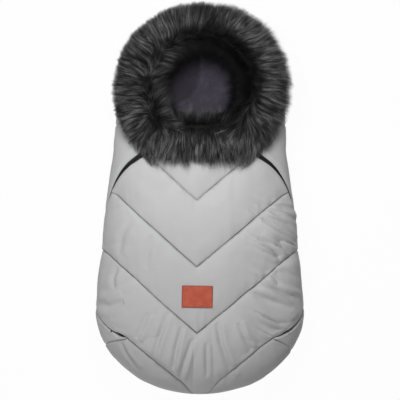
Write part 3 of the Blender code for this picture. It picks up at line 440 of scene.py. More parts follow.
def padded_form(name, outer, inner, finishes, closed_rows=None, closed_high=False, needle_line_thread_and_shade=None):
    """Two grids of points closed into one form. Closed rows are whole rings, and a closed end is a point."""
    rows, columns = outer.shape[:2]
    count = rows * columns
    index = np.arange(count).reshape(rows, columns)
    shell = quads(index)
    rims = []
    for j in range(rows - 1):
        if closed_rows is None or not (closed_rows[j] and closed_rows[j + 1]):
            rims += [(index[j + 1, 0], index[j, 0]), (index[j, -1], index[j + 1, -1])]
    rims += list(zip(index[0, :-1], index[0, 1:]))
    if not closed_high:
        rims += list(zip(index[-1, 1:], index[-1, :-1]))
    rims = [(int(q), int(p), int(p + count), int(q + count)) for p, q in rims]
    faces = shell.tolist() + (shell[:, ::-1] + count).tolist() + rims
    slots = [0] * len(shell) + [1] * len(shell) + [0] * len(rims)
    thing = mesh_object(name, np.concatenate([outer.reshape(-1, 3), inner.reshape(-1, 3)]), faces, finishes, slots)
    if needle_line_thread_and_shade is not None:
        keep(thing, "needle_line_thread_and_shade", np.concatenate([needle_line_thread_and_shade.ravel(), np.zeros(count)]))
    seal(thing)
    print(name, len(thing.data.vertices), "points", len(thing.data.polygons), "faces")
    return thing


# %% [markdown]
# ## Shader graphs
# One small class wraps a socket, so that shader maths reads as plain sums, and one method makes every node.

# %% Shader graphs
class Wire:
    """A node's output, with the usual signs for sums."""

    def __init__(self, graph, socket):
        self.graph, self.socket = graph, socket

    def _sum(self, operation, a, b):
        return self.graph.node("ShaderNodeMath", {0: a, 1: b}, operation=operation)

    def __add__(self, other): return self._sum("ADD", self, other)
    def __sub__(self, other): return self._sum("SUBTRACT", self, other)
    def __rsub__(self, other): return self._sum("SUBTRACT", other, self)
    def __mul__(self, other): return self._sum("MULTIPLY", self, other)
    def __pow__(self, other): return self._sum("POWER", self, other)


class Graph:
    """A node tree, shader or geometry, built by one method."""

    def __init__(self, tree):
        self.tree = tree

    def node(self, kind, values=None, output=0, **settings):
        made = self.tree.nodes.new(kind)
        for name, value in settings.items():
            setattr(made, name, value)
        for name, value in (values or {}).items():
            if isinstance(value, Wire):
                self.tree.links.new(value.socket, made.inputs[name])
            else:
                made.inputs[name].default_value = value
        return Wire(self, made.outputs[output]) if made.outputs else made

    def all(self, wire):
        """All outputs of a wire's node, by name."""
        return {s.name: Wire(self, s) for s in wire.socket.node.outputs}

    def place(self):
        return self.all(self.node("ShaderNodeTexCoord"))["Object"]

    def attribute(self, name):
        return self.all(self.node("ShaderNodeAttribute", attribute_name=name))["Fac"]

    def noise(self, place, scale, detail=2.0, **more):
        return self.node("ShaderNodeTexNoise", {"Vector": place, "Scale": scale, "Detail": detail, **more})

    def blend(self, factor, low, high):
        return self.node("ShaderNodeMix", {0: factor, 6: low, 7: high}, output=2, data_type="RGBA")

    def bump(self, height, strength, distance):
        return self.node("ShaderNodeBump", {"Height": height, "Strength": strength, "Distance": distance})

    def ramp(self, factor, *stops):
        wire = self.node("ShaderNodeValToRGB", {0: factor})
        made = wire.socket.node
        while len(made.color_ramp.elements) < len(stops):
            made.color_ramp.elements.new(0.5)
        for element, (place, colour) in zip(made.color_ramp.elements, stops):
            element.position, element.color = place, (*colour, 1)
        return wire


def shader(name, build, **constants):
    """A Principled finish. The builder makes the wires that vary, by the name of the input each goes to."""
    material = bpy.data.materials.new(name)
    material.use_nodes = True
    principled = material.node_tree.nodes["Principled BSDF"]
    for socket, value in constants.items():
        principled.inputs[socket.replace("_", " ")].default_value = value
    for socket, wire in build(Graph(material.node_tree)).items():
        material.node_tree.links.new(wire.socket, principled.inputs[socket])
    return material


# %% [markdown]
# ## Finishes
# - Grey polyester: satin matt, with a fine weave and a trace of unevenness; thread colour and painted shadow darken
#   the needle lines.
# - Dark fleece: brushed pile, near black with a purple cast, with a soft edge light.
# - Fur: near black at the roots, charcoal half way, with pale tips on some locks that are partly painted highlight;
#   painted shade darkens the ring's inside and the fur under the band, and painted light brightens its outer slope
#   unevenly.
# - Leather: terracotta, grained, darker where its edge is cut. It carries no lettering.
# - Zips: black woven tape and nylon coil, dark lacquered metal.

# %% Cloth, fleece and leather
def grey(tone, blue=0.0):
    return tone, tone, tone + blue


def cloth(colour):
    def shade(share):
        return (*[c * share for c in colour], 1)

    def build(graph):
        place = graph.place()
        tone = graph.blend(graph.noise(place, 9.0, 3.0), shade(0.95), shade(1.05))
        # Thread colour and painted shadow darken the needle lines.
        tone = graph.blend(graph.attribute("needle_line_thread_and_shade") * 0.55, tone, shade(0.22))
        warp, weft = [graph.node("ShaderNodeTexWave", {"Vector": place, "Scale": 620.0, "Distortion": 0.6},
                                 bands_direction=way) for way in "XY"]
        height = warp * 0.05 + weft * 0.05 + graph.noise(place, 55.0, 3.0) * 0.5
        return {"Base Color": tone, "Normal": graph.bump(height, 0.35, 0.0012)}
    return build


def fleece_build(graph):
    place = graph.place()
    tuft = graph.noise(place, 420.0, 3.0, Roughness=0.6)
    patchy = graph.noise(place, 34.0, 3.0)
    colour = graph.ramp(tuft * 0.55 + patchy * 0.45, (0.34, (0.034, 0.027, 0.044)), (0.52, (0.060, 0.050, 0.076)),
                        (0.70, (0.100, 0.086, 0.124)))
    # Painted shade: the lining is darkened on one side of its fold inside the hood, where the fur's shade falls.
    colour = graph.blend(graph.attribute("painted_lining_shade") * 0.72, colour, (0.012, 0.010, 0.015, 1))
    return {"Base Color": colour, "Normal": graph.bump(tuft + patchy * 0.8, 0.6, 0.003)}


def leather_build(graph):
    place = graph.place()
    grain = graph.node("ShaderNodeTexVoronoi", {"Vector": place, "Scale": 900.0}, feature="F1")
    tone = graph.ramp(graph.noise(place, 60.0, 4.0), (0.3, (0.50, 0.085, 0.045)), (0.7, (0.66, 0.125, 0.066)))
    return {"Base Color": graph.blend(graph.attribute("edge"), tone, (0.20, 0.032, 0.018, 1)),
            "Normal": graph.bump(grain, 0.5, 0.0004)}


grey_cloth = shader("grey_cloth_look", cloth(grey(0.58, 0.005)), Roughness=0.58)
# The foot's cloth is the same grey, painted darker: painted shade where the foot turns away from the lamp.
foot_cloth_painted_darker = shader("foot_cloth_painted_darker_look", cloth(grey(0.52, 0.005)), Roughness=0.60)
fleece = shader("dark_fleece_look", fleece_build, Roughness=0.95, Sheen_Weight=0.25, Sheen_Roughness=0.6)
leather = shader("tan_leather_look", leather_build, Roughness=0.48)
thread = shader("grey_thread_look", cloth(grey(0.24, 0.005)), Roughness=0.65)

# %% Zip, fur and small parts
def black_build(graph):
    weave = graph.noise(graph.place(), 900.0)
    return {"Base Color": graph.ramp(weave, (0.3, grey(0.007, 0.001)), (0.7, grey(0.022, 0.002))),
            "Normal": graph.bump(weave, 0.4, 0.0004)}


def fur_build(graph):
    along = graph.attribute("along")
    # Painted light and shade: 'shade' darkens the locks to near black on the ring's inner slope and under the band;
    # the pale tips are partly painted highlight.
    base = graph.ramp(along, (0.0, grey(0.002)), (0.45, grey(0.008)), (0.75, grey(0.034)), (1.0, grey(0.062, 0.001)))
    pale = graph.ramp(along, (0.0, grey(0.005)), (0.35, grey(0.070)), (0.65, grey(0.62)), (1.0, grey(0.92)))
    colour = graph.blend(graph.attribute("tone"), base, pale)
    return {"Base Color": graph.blend(graph.attribute("shade"), (*grey(0.003), 1), colour)}


def plain(dark, light, scale, low=0.35, high=0.65, detail=3.0):
    def build(graph):
        return {"Base Color": graph.ramp(graph.noise(graph.place(), scale, detail), (low, dark), (high, light))}
    return build


zip_black = shader("zip_black_look", black_build, Roughness=0.6)
zip_metal = shader("zip_metal_look", plain(grey(0.085, 0.005), grey(0.13, 0.01), 400.0, 0.4, 0.7, 2.0),
                   Roughness=0.34, Metallic=0.9)
fur = shader("dark_fur_look", fur_build, Roughness=0.38, Specular_IOR_Level=0.2)
undercoat = shader("fur_undercoat_look", plain(grey(0.003), grey(0.008), 200.0), Roughness=0.95)
facing = shader("slot_facing_look", plain(grey(0.035, 0.005), grey(0.06, 0.005), 700.0), Roughness=0.85)
elastic = shader("elastic_look", plain(grey(0.6, -0.02), grey(0.72, -0.02), 500.0), Roughness=0.8)

# %% [markdown]
# ## The quilted cover and toe panel
# Outside they are one run of cloth, so they are one grid, whose rows follow the chevrons and crowd at the seams.
# One of its rows lies on the line between the zips' lower ends, where the cover folds down over the foot.

# %% The cover and toe panel
def sewn_at(s, a):
    """How near each place is to a chevron seam, for the needle line's thread colour and painted shadow."""
    p = skin(s, a)
    row, to_seam = chevrons(p)
    uneven = np.clip(0.68 + 0.55 * noise(p, 0.016, 62), 0.2, 1)
    return bell(to_seam, NEEDLE_WIDTH) * uneven * (np.abs(a) < QUARTER) * seam_shows(s, row)


def spaced(count):
    """Shares from 0 to 1 that crowd at both ends."""
    u = np.linspace(0, 1, count)
    return 0.35 * u + 0.65 * (1 - np.cos(math.pi * u)) / 2


def cover_grid(columns, rows):
    stations = np.linspace(TOE_PANEL_END, HOOD_Y - HAIR, 900)
    edges = {side: np.where(stations > FOLD_Y, cover_edge[side](stations), toe_seam_angle(stations) - SEAM_TURN)
             for side in (-1, 1)}
    all_s = np.empty((sum(rows) + 1, columns))
    all_a = np.empty_like(all_s)
    for k, share in enumerate(np.linspace(-1, 1, columns)):
        edge = edges[1 if share > 0 else -1]
        p = skin(stations, share * edge)
        v = rising(p[:, 0], p[:, 1])
        seams = [float(np.interp(CHEVRON_APEX_Y - n * CHEVRON_PITCH, v, stations)) for n in (2, 1, 0)]
        stops = [stations[0], FOLD_Y] + seams + [stations[-1]]
        places = [mix(low, high, spaced(count + 1)[:-1]) for low, high, count in zip(stops, stops[1:], rows)]
        all_s[:, k] = np.concatenate(places + [[stops[-1]]])
        all_a[:, k] = share * np.interp(all_s[:, k], stations, edge)
    return all_s, all_a


cover_rows = (50, 84, 70, 60, 34)
cover_s, cover_a = cover_grid(261, cover_rows)
cover_depth = quilting(cover_s, cover_a)
lining_depth = PAD_THICK + 0.3 * np.clip(cover_depth, 0, 0.009) + noise(skin(cover_s, cover_a), 0.03, 9) * 0.0006
cover = padded_form("quilted_cover", skin(cover_s, cover_a, cover_depth), skin(cover_s, cover_a, lining_depth),
                    [grey_cloth, fleece], needle_line_thread_and_shade=sewn_at(cover_s, cover_a))
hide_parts("cover_shell", "cover_wadding", "cover_lining",
            "toe_panel_shell", "toe_panel_wadding", "toe_panel_lining")
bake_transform(cover)

# %% [markdown]
# ## The back and the hood
# One padded run of cloth wraps under the child and up both sides to the zips, and closes round the head up to the
# hem of the face opening. Three slots for the harness are cut through it.

# %% The back and the hood
HOOD_SEAM_DEPTH, HOOD_SEAM_WIDTH = 0.0022, 0.0022
FOOT_SEAM_DEPTH, FOOT_SEAM_WIDTH = 0.0024, 0.0020
RIGHT_SLANT, LEFT_SLANT = 0.038, 0.016


def ring_grid(stations, right, left, columns=190):
    """Stations and angles of rings that run from the right front edge round the back to the left front edge."""
    near = 0.05 * np.linspace(0, 1, 16) ** 1.3
    shares = np.concatenate([near[:-1], np.linspace(0.05, 0.95, columns - 30), 1 - near[::-1][1:]])
    a = right[:, None] + (FULL_TURN - right[:, None] - left[:, None]) * shares[None, :]
    s = np.repeat(stations[:, None], columns, 1)
    return s - seam_drop(s, a), a


def seam_drop(s, a):
    """How much nearer the toes the seam between back and foot lies at the sides than at the notches."""
    notch = float(toe_seam_angle(FOLD_Y))
    slant = mix(RIGHT_SLANT, LEFT_SLANT, ease((a - QUARTER) / HALF_TURN))
    slant = slant * np.clip((from_front(a) - notch) / (QUARTER - notch), 0, 1)
    return slant * np.where(s > FOLD_Y, 1 - ease((s - FOLD_Y) / 0.08), 1 - ease((FOLD_Y - s) / 0.09))


def underneath(a):
    """1 under the bag, where it lies flat on the seat."""
    return ease((from_front(a) - radians(100)) / radians(30))


def lying(swells, a):
    """Swells made shallow, and only inward, under the bag."""
    return mix(swells, np.abs(swells) * 0.4, underneath(a))


def foot_seam(s, a):
    return FOOT_SEAM_DEPTH * bell(s + seam_drop(s, a) - FOLD_Y, FOOT_SEAM_WIDTH) * (1 - underneath(a))


def back_depth(s, a, edge_angle):
    p = skin(s, a)
    edge = np.where(s < HOOD_Y, from_edge(p), (from_front(a) - edge_angle) * 0.2)
    swells = lying(layers(p, (0.07, 0.0018, 11), (0.03, 0.0011, 12), (0.012, 0.0003, 13)), a) * ease(edge / 0.016)
    roll = BACK_ROLL * (1 - ease(edge / ROLL_WIDTH)) * ease((s - FOLD_Y) / 0.09)
    hood_seam = HOOD_SEAM_DEPTH * bell(p[..., 1] - HOOD_Y, HOOD_SEAM_WIDTH) * (1 - underneath(a))
    return swells + roll + hood_seam + foot_seam(s, a)


head_turns = np.linspace(QUARTER, 0, 56)[1:]
tray_stations = np.concatenate([np.linspace(FOLD_Y + HAIR, FOLD_Y + 0.055, 44)[:-1],
                                np.linspace(FOLD_Y + 0.055, HEAD_Y, 116), HEAD_Y + HEAD_REACH * np.cos(head_turns)])
front, left_front = [np.where(tray_stations < HOOD_Y, tray_edge[side](tray_stations), hem_angle(tray_stations))
                     for side in (1, -1)]
tray_s, tray_a = ring_grid(tray_stations, front, left_front)
tray_skin = skin(tray_s, tray_a)
lining_fold = ((201, 56), (201, 70), (199, 84), (190, 98), (171, 107))
away = to_line(tray_skin, lining_fold)[0]
behind_head = np.where(from_front(tray_a) > QUARTER, 1.0, 0.0)
lining_depth = PAD_THICK + noise(tray_skin, 0.035, 14) * 0.0009 + 0.0045 * bell(away, 0.005) * behind_head
tray = padded_form("back_and_hood", skin(tray_s, tray_a, back_depth(tray_s, tray_a, front[:, None])),
                   skin(tray_s, tray_a, lining_depth), [grey_cloth, fleece], closed_rows=front < 1e-6,
                   closed_high=True)

# %% Harness slots
SLOT_MARGIN, SLOT_HALF_WIDTH, SLOT_CUT = 0.0042, 0.0092, (-0.02, 0.03)
# The middle of each slot and its length.
harness_slots = ((-0.070, 0.060, 0.110), (0.070, 0.060, 0.110), (0.0, -0.140, 0.060))


def slot_ring(x, y, half_length, half_width):
    """The outline of a slot with round ends."""
    turns = [(end, start + math.pi * k / 8) for end, start in ((1, 0.0), (-1, math.pi)) for k in range(9)]
    return [(x + half_width * math.cos(turn), y + end * (half_length - half_width) + half_width * math.sin(turn))
            for end, turn in turns]


points, faces = [], []
for x, y, length in harness_slots:
    ring = slot_ring(x, y, length / 2 + SLOT_MARGIN, SLOT_HALF_WIDTH)
    low, count = len(points), len(ring)
    high = low + count
    points += [(px, py, z) for z in SLOT_CUT for px, py in ring]
    faces += [(low + k, low + (k + 1) % count, high + (k + 1) % count, high + k) for k in range(count)]
    faces += [tuple(reversed(range(low, high))), tuple(range(high, high + count))]
cutter = mesh_object("slot_cutter", points, faces, [], smooth=False)
cut = tray.modifiers.new("slots", "BOOLEAN")
cut.operation, cut.solver, cut.object = "DIFFERENCE", "EXACT", cutter
opened = bpy.data.meshes.new_from_object(tray.evaluated_get(bpy.context.evaluated_depsgraph_get()))
tray.modifiers.clear()
tray.data = opened
bpy.data.objects.remove(cutter)
print("back and hood", len(tray.data.polygons), "faces after the slots")
# Painted shade for the lining on one side of its fold, read by the fleece's colour.
away, side = to_line(np.array([vert.co for vert in tray.data.vertices]), lining_fold)[:2]
keep(tray, "painted_lining_shade", ease((-side * away + 0.002) / 0.006) * ease((0.16 - away) / 0.04))
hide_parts("back_shell", "back_wadding", "back_lining", "hood_shell", "hood_wadding", "hood_lining")
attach(tray, "bag")

# %% [markdown]
# ## The foot
# A cup of the same cloth closes the toe end. Its front edge is sewn to the toe panel along the lowest chevron, and
# that seam runs up to the notches where the zips begin.

# %% The foot
toe_turns = np.linspace(math.acos((WIDEST_Y - (FOLD_Y - HAIR)) / (WIDEST_Y - TOE_Y)), 0, 76)
foot_stations = WIDEST_Y - (WIDEST_Y - TOE_Y) * np.cos(toe_turns)
foot_front = np.where(foot_stations > TOE_PANEL_END - 0.0003, toe_seam_angle(foot_stations) + SEAM_TURN, 0.0)
foot_s, foot_a = ring_grid(foot_stations, foot_front, foot_front)
around, foot_signed = from_front(foot_a), signed(foot_a)
swells = lying(layers(skin(foot_s, foot_a), (0.06, 0.0016, 21), (0.025, 0.0012, 22)), foot_a)
foot_depth = np.where(around < QUARTER, quilting(foot_s, foot_signed, on_cover=False),
                      swells * ease((around - QUARTER) / 0.2))
foot_depth = (foot_depth + foot_seam(foot_s, foot_a)) * ease((foot_s - TOE_Y) / 0.02)
foot = padded_form("foot", skin(foot_s, foot_a, foot_depth), skin(foot_s, foot_a, PAD_THICK),
                   [foot_cloth_painted_darker, fleece], closed_rows=foot_front < 1e-6, closed_high=True,
                   needle_line_thread_and_shade=sewn_at(foot_s, foot_signed))
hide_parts("foot_shell", "foot_wadding", "foot_lining")
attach(foot, "bag")

# %% [markdown]
# ## The zips
# Each half is a woven tape under the cloth's edge, with a nylon coil along it. The coil's turns repeat, so they are
# placed along the line by geometry nodes and then made real.

# %% The zip tapes
COIL_PITCH, COIL_DEPTH, COIL_ASIDE, COIL_TOOTH = 0.0016, 0.0038, 0.0009, (0.0010, 0.0014, 0.0005)
TAPE_LINES, TAPE_DEPTHS = (0.0003, 0.003, 0.0055, 0.009, 0.013), (0.0046, 0.0056)
zip_halves = [(side, word, sign, half, body) for side, word in ((-1, "left"), (1, "right"))
              for sign, half, body in ((1, "cover", "cover"), (-1, "back", "bag"))]


def along_zip(side, distance, runs, depth):
    """Points beside a zip's line, at these runs along it. Low down it lies deeper, where the cloth covers it."""
    s, a = beside(distance)
    covered = 0.0022 * (1 - ease((runs / zip_run[-1] - 0.44) / 0.36))
    return skin(np.interp(runs, zip_run, s), side * np.interp(runs, zip_run, a), depth + covered)


for side, word, sign, half, body in zip_halves:
    runs = np.linspace(ZIP_START, zip_run[-1], 170)
    outer, inner = [np.stack([along_zip(side, sign * d, runs, depth + 0.0042 * ease((d - 0.0045) / 0.0075))
                              for d in TAPE_LINES], 1) for depth in TAPE_DEPTHS]
    tape = padded_form(f"tape_{half}_{word}", outer, inner, [zip_black, zip_black])
    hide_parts(f"zip_tape_{half}_{word}")
    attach(tape, body)

# %% Geometry trees
def geometry_group(name, **inputs):
    """An empty geometry tree with named inputs, its graph, and its input wires."""
    group = bpy.data.node_groups.new(name, "GeometryNodeTree")
    group.interface.new_socket("Geometry", in_out="INPUT", socket_type="NodeSocketGeometry")
    for label, value in inputs.items():
        kind = {int: "NodeSocketInt", float: "NodeSocketFloat", tuple: "NodeSocketVector"}[type(value)]
        group.interface.new_socket(label, in_out="INPUT", socket_type=kind).default_value = value
    group.interface.new_socket("Geometry", in_out="OUTPUT", socket_type="NodeSocketGeometry")
    graph = Graph(group)
    return group, graph, graph.all(graph.node("NodeGroupInput"))


def end_group(graph, wire, material):
    real = graph.node("GeometryNodeRealizeInstances", {0: wire})
    graph.node("NodeGroupOutput", {0: graph.node("GeometryNodeSetMaterial", {"Geometry": real, "Material": material})})


def grow(name, base, group, **values):
    """Run a geometry tree on a base mesh and put what it makes, a plain mesh, in the base's place."""
    modifier = base.modifiers.new("grow", "NODES")
    modifier.node_group = group
    ids = {s.name: s.identifier for s in group.interface.items_tree if s.in_out == "INPUT"}
    for label, value in values.items():
        modifier[ids[label]] = value
    base.update_tag()
    made = bpy.data.meshes.new_from_object(base.evaluated_get(bpy.context.evaluated_depsgraph_get()))
    base.modifiers.clear()
    bpy.data.objects.remove(base)
    made.polygons.foreach_set("use_smooth", [True] * len(made.polygons))
    thing = bpy.data.objects.new(name, made)
    bpy.context.scene.collection.objects.link(thing)
    print(name, len(made.polygons), "faces")
    return thing


# %% The coils
def bead_group():
    group, graph, given = geometry_group("beads", Pitch=COIL_PITCH, Tooth=COIL_TOOTH)
    curve = graph.node("GeometryNodeMeshToCurve", {0: given["Geometry"]})
    points = graph.node("GeometryNodeCurveToPoints", {"Curve": curve, "Length": given["Pitch"]}, mode="LENGTH")
    tooth = graph.node("GeometryNodeMeshUVSphere", {"Segments": 6, "Rings": 4, "Radius": 1.0})
    placed = graph.node("GeometryNodeInstanceOnPoints", {
        "Points": points, "Instance": tooth, "Rotation": graph.all(points)["Rotation"], "Scale": given["Tooth"]})
    end_group(graph, placed, zip_black)
    return group


bead_tree = bead_group()


def beads(name, line, pitch, tooth):
    """Small rounded beads, all turned along a line."""
    path = mesh_object("path", line, [], [], edges=[(k, k + 1) for k in range(len(line) - 1)])
    return grow(name, path, bead_tree, Pitch=pitch, Tooth=tooth)


for side, word, sign, half, body in zip_halves:
    runs = np.arange(ZIP_START + (COIL_PITCH / 2 if sign > 0 else 0), zip_run[-1], COIL_PITCH)
    line = along_zip(side, sign * COIL_ASIDE, runs, COIL_DEPTH)
    coil = beads(f"coil_{half}_{word}", line, COIL_PITCH, COIL_TOOTH)
    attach(coil, body)

# %% [markdown]
# ## The quilting stitches
# Each chevron is sewn with a run of grey thread. The stitches lie in the bottom of the channel, one every 3.6 mm, and
# repeat along it, so the coil's tree places them too.

# %% The quilting stitches
STITCH_PITCH, STITCH_SIZE = 0.0036, (0.00038, 0.00038, 0.00145)
for number, row in enumerate(np.cumsum(cover_rows)[[3, 2, 1]]):
    seam = skin(cover_s[row, 2:-2], cover_a[row, 2:-2], cover_depth[row, 2:-2] - 0.0004)
    seam_run = np.concatenate([[0], np.cumsum(np.linalg.norm(np.diff(seam, axis=0), axis=1))])
    places = np.arange(STITCH_PITCH, seam_run[-1] - STITCH_PITCH, STITCH_PITCH / 2)
    line = np.stack([np.interp(places, seam_run, seam[:, k]) for k in range(3)], -1)
    run = beads(f"chevron_stitches_{number + 1}", line, STITCH_PITCH, STITCH_SIZE)
    run.data.materials.clear()
    run.data.materials.append(thread)
    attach(run, "cover")

# %% [markdown]
# ## The leather patch
# A bare terracotta patch lies on the crest of the third chevron's channel, a few millimetres off the middle line and
# a degree askew. Its corners are softly rounded and its cut edge is darker.

# %% The leather patch
def leather_patch(width=0.0728, height=0.0522, thick=0.0014, corner=0.0022, turn=radians(-1)):
    u, v = [np.sin(np.linspace(-1, 1, count) * QUARTER) for count in (46, 34)]
    grid_u, grid_v = np.meshgrid(u * width / 2, v * height / 2)
    core_u = np.clip(grid_u, -(width / 2 - corner), width / 2 - corner)
    core_v = np.clip(grid_v, -(height / 2 - corner), height / 2 - corner)
    out_u, out_v = grid_u - core_u, grid_v - core_v
    rounded = np.maximum(np.abs(out_u), np.abs(out_v)) / np.maximum(np.hypot(out_u, out_v), 1e-9)
    grid_u, grid_v = core_u + out_u * rounded, core_v + out_v * rounded

    def inset(along, up):
        return np.minimum(width / 2 - np.abs(along), height / 2 - np.abs(up))

    x = patch_x + grid_u * math.cos(turn) - grid_v * math.sin(turn)
    y = patch_y + grid_u * math.sin(turn) + grid_v * math.cos(turn)
    a = np.copysign(angle_at(y, x), x)
    near = inset(grid_u, grid_v)
    lift = thick * np.sqrt(np.clip(1 - (1 - np.clip(near / 0.0011, 0, 1)) ** 2, 0, 1))
    press = 0.00035 * bell(near, 0.0005, 0.0030)
    piece = padded_form("leather_patch_look", skin(y, a, -0.0006 - lift * 0.999 + press), skin(y, a, 0.0004),
                        [leather, leather])
    dx, dy = (np.array([vert.co for vert in piece.data.vertices])[:, :2] - (patch_x, patch_y)).T
    near = inset(dx * math.cos(turn) + dy * math.sin(turn), dy * math.cos(turn) - dx * math.sin(turn))
    keep(piece, "edge", np.exp(-np.clip(near, 0, 1) / 0.0012))
    return piece


patch = leather_patch()
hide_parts("leather_patch")
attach(patch, "cover")

# %% [markdown]
# ## The fur
# Two dark undercoats carry the locks: the hood's ring and the band along the cover's top edge. A geometry tree sows
# points on open strips of the same shape and grows a curved, tapering lock from each. The locks part along the ring's
# crest: outside it they are combed outwards and down, inside it over the lining. Tufts draw them together.

# %% Undercoats
PARTING, ENDS_FROM, RING_HEIGHT, SWELL_SHARE = radians(112), radians(112), 0.043, 0.80
BAND_Y, BAND_REACH, BAND_HEIGHT = 0.146, 0.050, 0.038
FUR_BULGE = 0.0095
OUTSIDE_LENGTH, INSIDE_LENGTH, EDGE_SHORTER, UPPER_LENGTH, LOWER_LENGTH = 0.042, 0.046, 0.007, 0.036, 0.042


def ring_strip(start, end, count, a):
    """A stretch of the hood's fur ring: its points, the way its hair is combed, how long it is, and its painted light
    and shade with random paleness.

    Turns run clockwise from the head's end, seen from above."""
    turns = np.linspace(start, end, count)
    degrees = np.degrees(turns)
    ray = np.stack([np.sin(turns), np.cos(turns)], -1)
    offset = np.array([0.0, FACE_Y - FUR_CENTRE_Y])
    drawn = ray @ offset
    outer = -drawn + np.sqrt(drawn ** 2 + FUR_RADIUS ** 2 - offset @ offset)
    outer = outer + FUR_BULGE * bell(degrees, 30, 50) + 0.0045 * bell(degrees, 28, 95)
    middle, half = (outer + FUR_OPENING) / 2, (outer - FUR_OPENING) / 2
    level = float(skin(FACE_Y, angle_at(FACE_Y, HEM_RADIUS))[2]) + 0.001
    swell = (SWELL_SHARE + 0.05 * noise_over(41, turns * 3))[:, None]
    reach = middle[:, None] + half[:, None] * swell * np.cos(a)
    points = np.stack([reach * ray[:, :1], FACE_Y + reach * ray[:, 1:], level + RING_HEIGHT * swell * np.sin(a)], -1)
    outwards = np.concatenate([ray, np.zeros((count, 1))], 1)[:, None, :]
    around = np.stack([np.cos(turns), -np.sin(turns), 0 * turns], -1)[:, None, :]
    up = np.array([0.0, 0.0, 1.0])
    parting = PARTING + 0.22 * noise_over(42, turns * 4)[:, None]
    side = np.clip((parting - a) / 0.30, -1, 1)[..., None]
    sine, cosine = np.sin(a)[None, :, None], np.cos(a)[None, :, None]
    level_share = 0.45 * np.clip(cosine, 0, 1)
    flat = (sine * (1 - level_share) + level_share) * outwards
    down = -cosine * up * (1 - level_share)
    near_end = (ease((np.abs(turns) - ENDS_FROM) / radians(30)) * np.sign(turns))[:, None, None]
    comb = side * (flat + down * np.where(side > 0, 1.0, 0.55)) + (1 - np.abs(side)) * up * 0.3
    comb = unit(comb + around * near_end * 0.8 + 0.18 * around)
    inside, edge = ease((a - radians(100)) / radians(40)), ease((radians(40) - a) / radians(40))
    length = (mix(OUTSIDE_LENGTH, INSIDE_LENGTH, inside) - EDGE_SHORTER * edge) * np.ones((count, 1))
    # Painted light and shade: the inner slope is painted near black, lighter on the left and towards the toes; the
    # outer slope is painted lighter on the right and darker at the top and the left. The noise adds random paleness.
    lit = 0.02 + 0.34 * np.clip(-np.sin(turns), 0, 1) + 0.12 * np.clip(-np.cos(turns), 0, 1)
    outer_painted_light = 1 - 0.42 * bell(degrees, 30, 2) + 0.40 * bell(degrees, 25, 55)
    outer_painted_light = outer_painted_light + 0.55 * bell(degrees, 28, 100) - 0.28 * bell(degrees, 30, -88)
    dark_from = np.radians(102 - 24 * ((1 + np.cos(turns - radians(55))) / 2) ** 1.5)[:, None]
    painted_light_and_paleness = mix(outer_painted_light[:, None], lit[:, None], ease((a - dark_from) / radians(38)))
    painted_light_and_paleness = painted_light_and_paleness * (1 + 0.45 * noise(points, 0.028, 43)) * (1 + 0.15 * noise(points, 0.060, 44))
    return points, comb, length, painted_light_and_paleness


def band_strip(a, reach_x=0.097, count=40):
    """The fur along the cover's top edge, combed down towards the toes and outwards at its ends."""
    across = np.linspace(-1, 1, count)[:, None]
    swell = SWELL_SHARE * np.clip(1 - np.abs(across) ** 7, 0.15, 1) ** 0.5
    reach = BAND_REACH * swell * np.cos(a)
    x = across * (reach_x - 0.55 * reach)
    z = skin(BAND_Y, angle_at(BAND_Y, x))[..., 2] + BAND_HEIGHT * swell * np.sin(a)
    points = np.stack([x, BAND_Y + reach, z], -1)
    splay, towards, rise = 0.75 * np.sign(across) * across ** 2, np.where(a < radians(48), 1.0, -1.0), np.cos(a) * 0.35
    comb = np.stack(np.broadcast_arrays(splay, towards, rise - 0.12), -1)
    lower = ease((0.75 - np.cos(a)) / 0.7)
    tufts = 1 + 0.24 * noise_over(45, x / 0.0115)
    wisps = 1 + 0.45 * noise_over(47, x / 0.008)
    long = mix(UPPER_LENGTH * wisps, LOWER_LENGTH * tufts * (1 - 0.42 * across ** 4), lower)
    # Painted shade: the fur beneath the band is painted darker and kept shorter; the band is also darker on its side
    # towards the ring, and the noise gives random paleness.
    beneath = ease((radians(-36) - a) / radians(16))
    pale = mix(0.52, 1.0, lower) * (1 + 0.4 * noise(points, 0.02, 46)) * (1 - 0.7 * beneath)
    return points, unit(comb), long * (1 - 0.68 * beneath), pale


def strip_object(name, strip, closed=False):
    """A strip or a closed tube through rows of points, with what the locks need stored on it."""
    points, comb, length, painted_light_and_paleness = strip
    count, around = points.shape[:2]
    index = np.arange(count * around).reshape(count, around)
    if closed:
        index = np.concatenate([index, index[:, :1]], 1)
    faces = quads(index).tolist()
    if closed:
        faces += [tuple(int(i) for i in index[0, :-1][::-1]), tuple(int(i) for i in index[-1, :-1])]
    thing = mesh_object(name, points, faces, [undercoat])
    keep(thing, "comb", comb, "FLOAT_VECTOR", "vector")
    keep(thing, "pile", length)
    keep(thing, "pale", painted_light_and_paleness)
    if closed:
        seal(thing, join=False)
    return thing


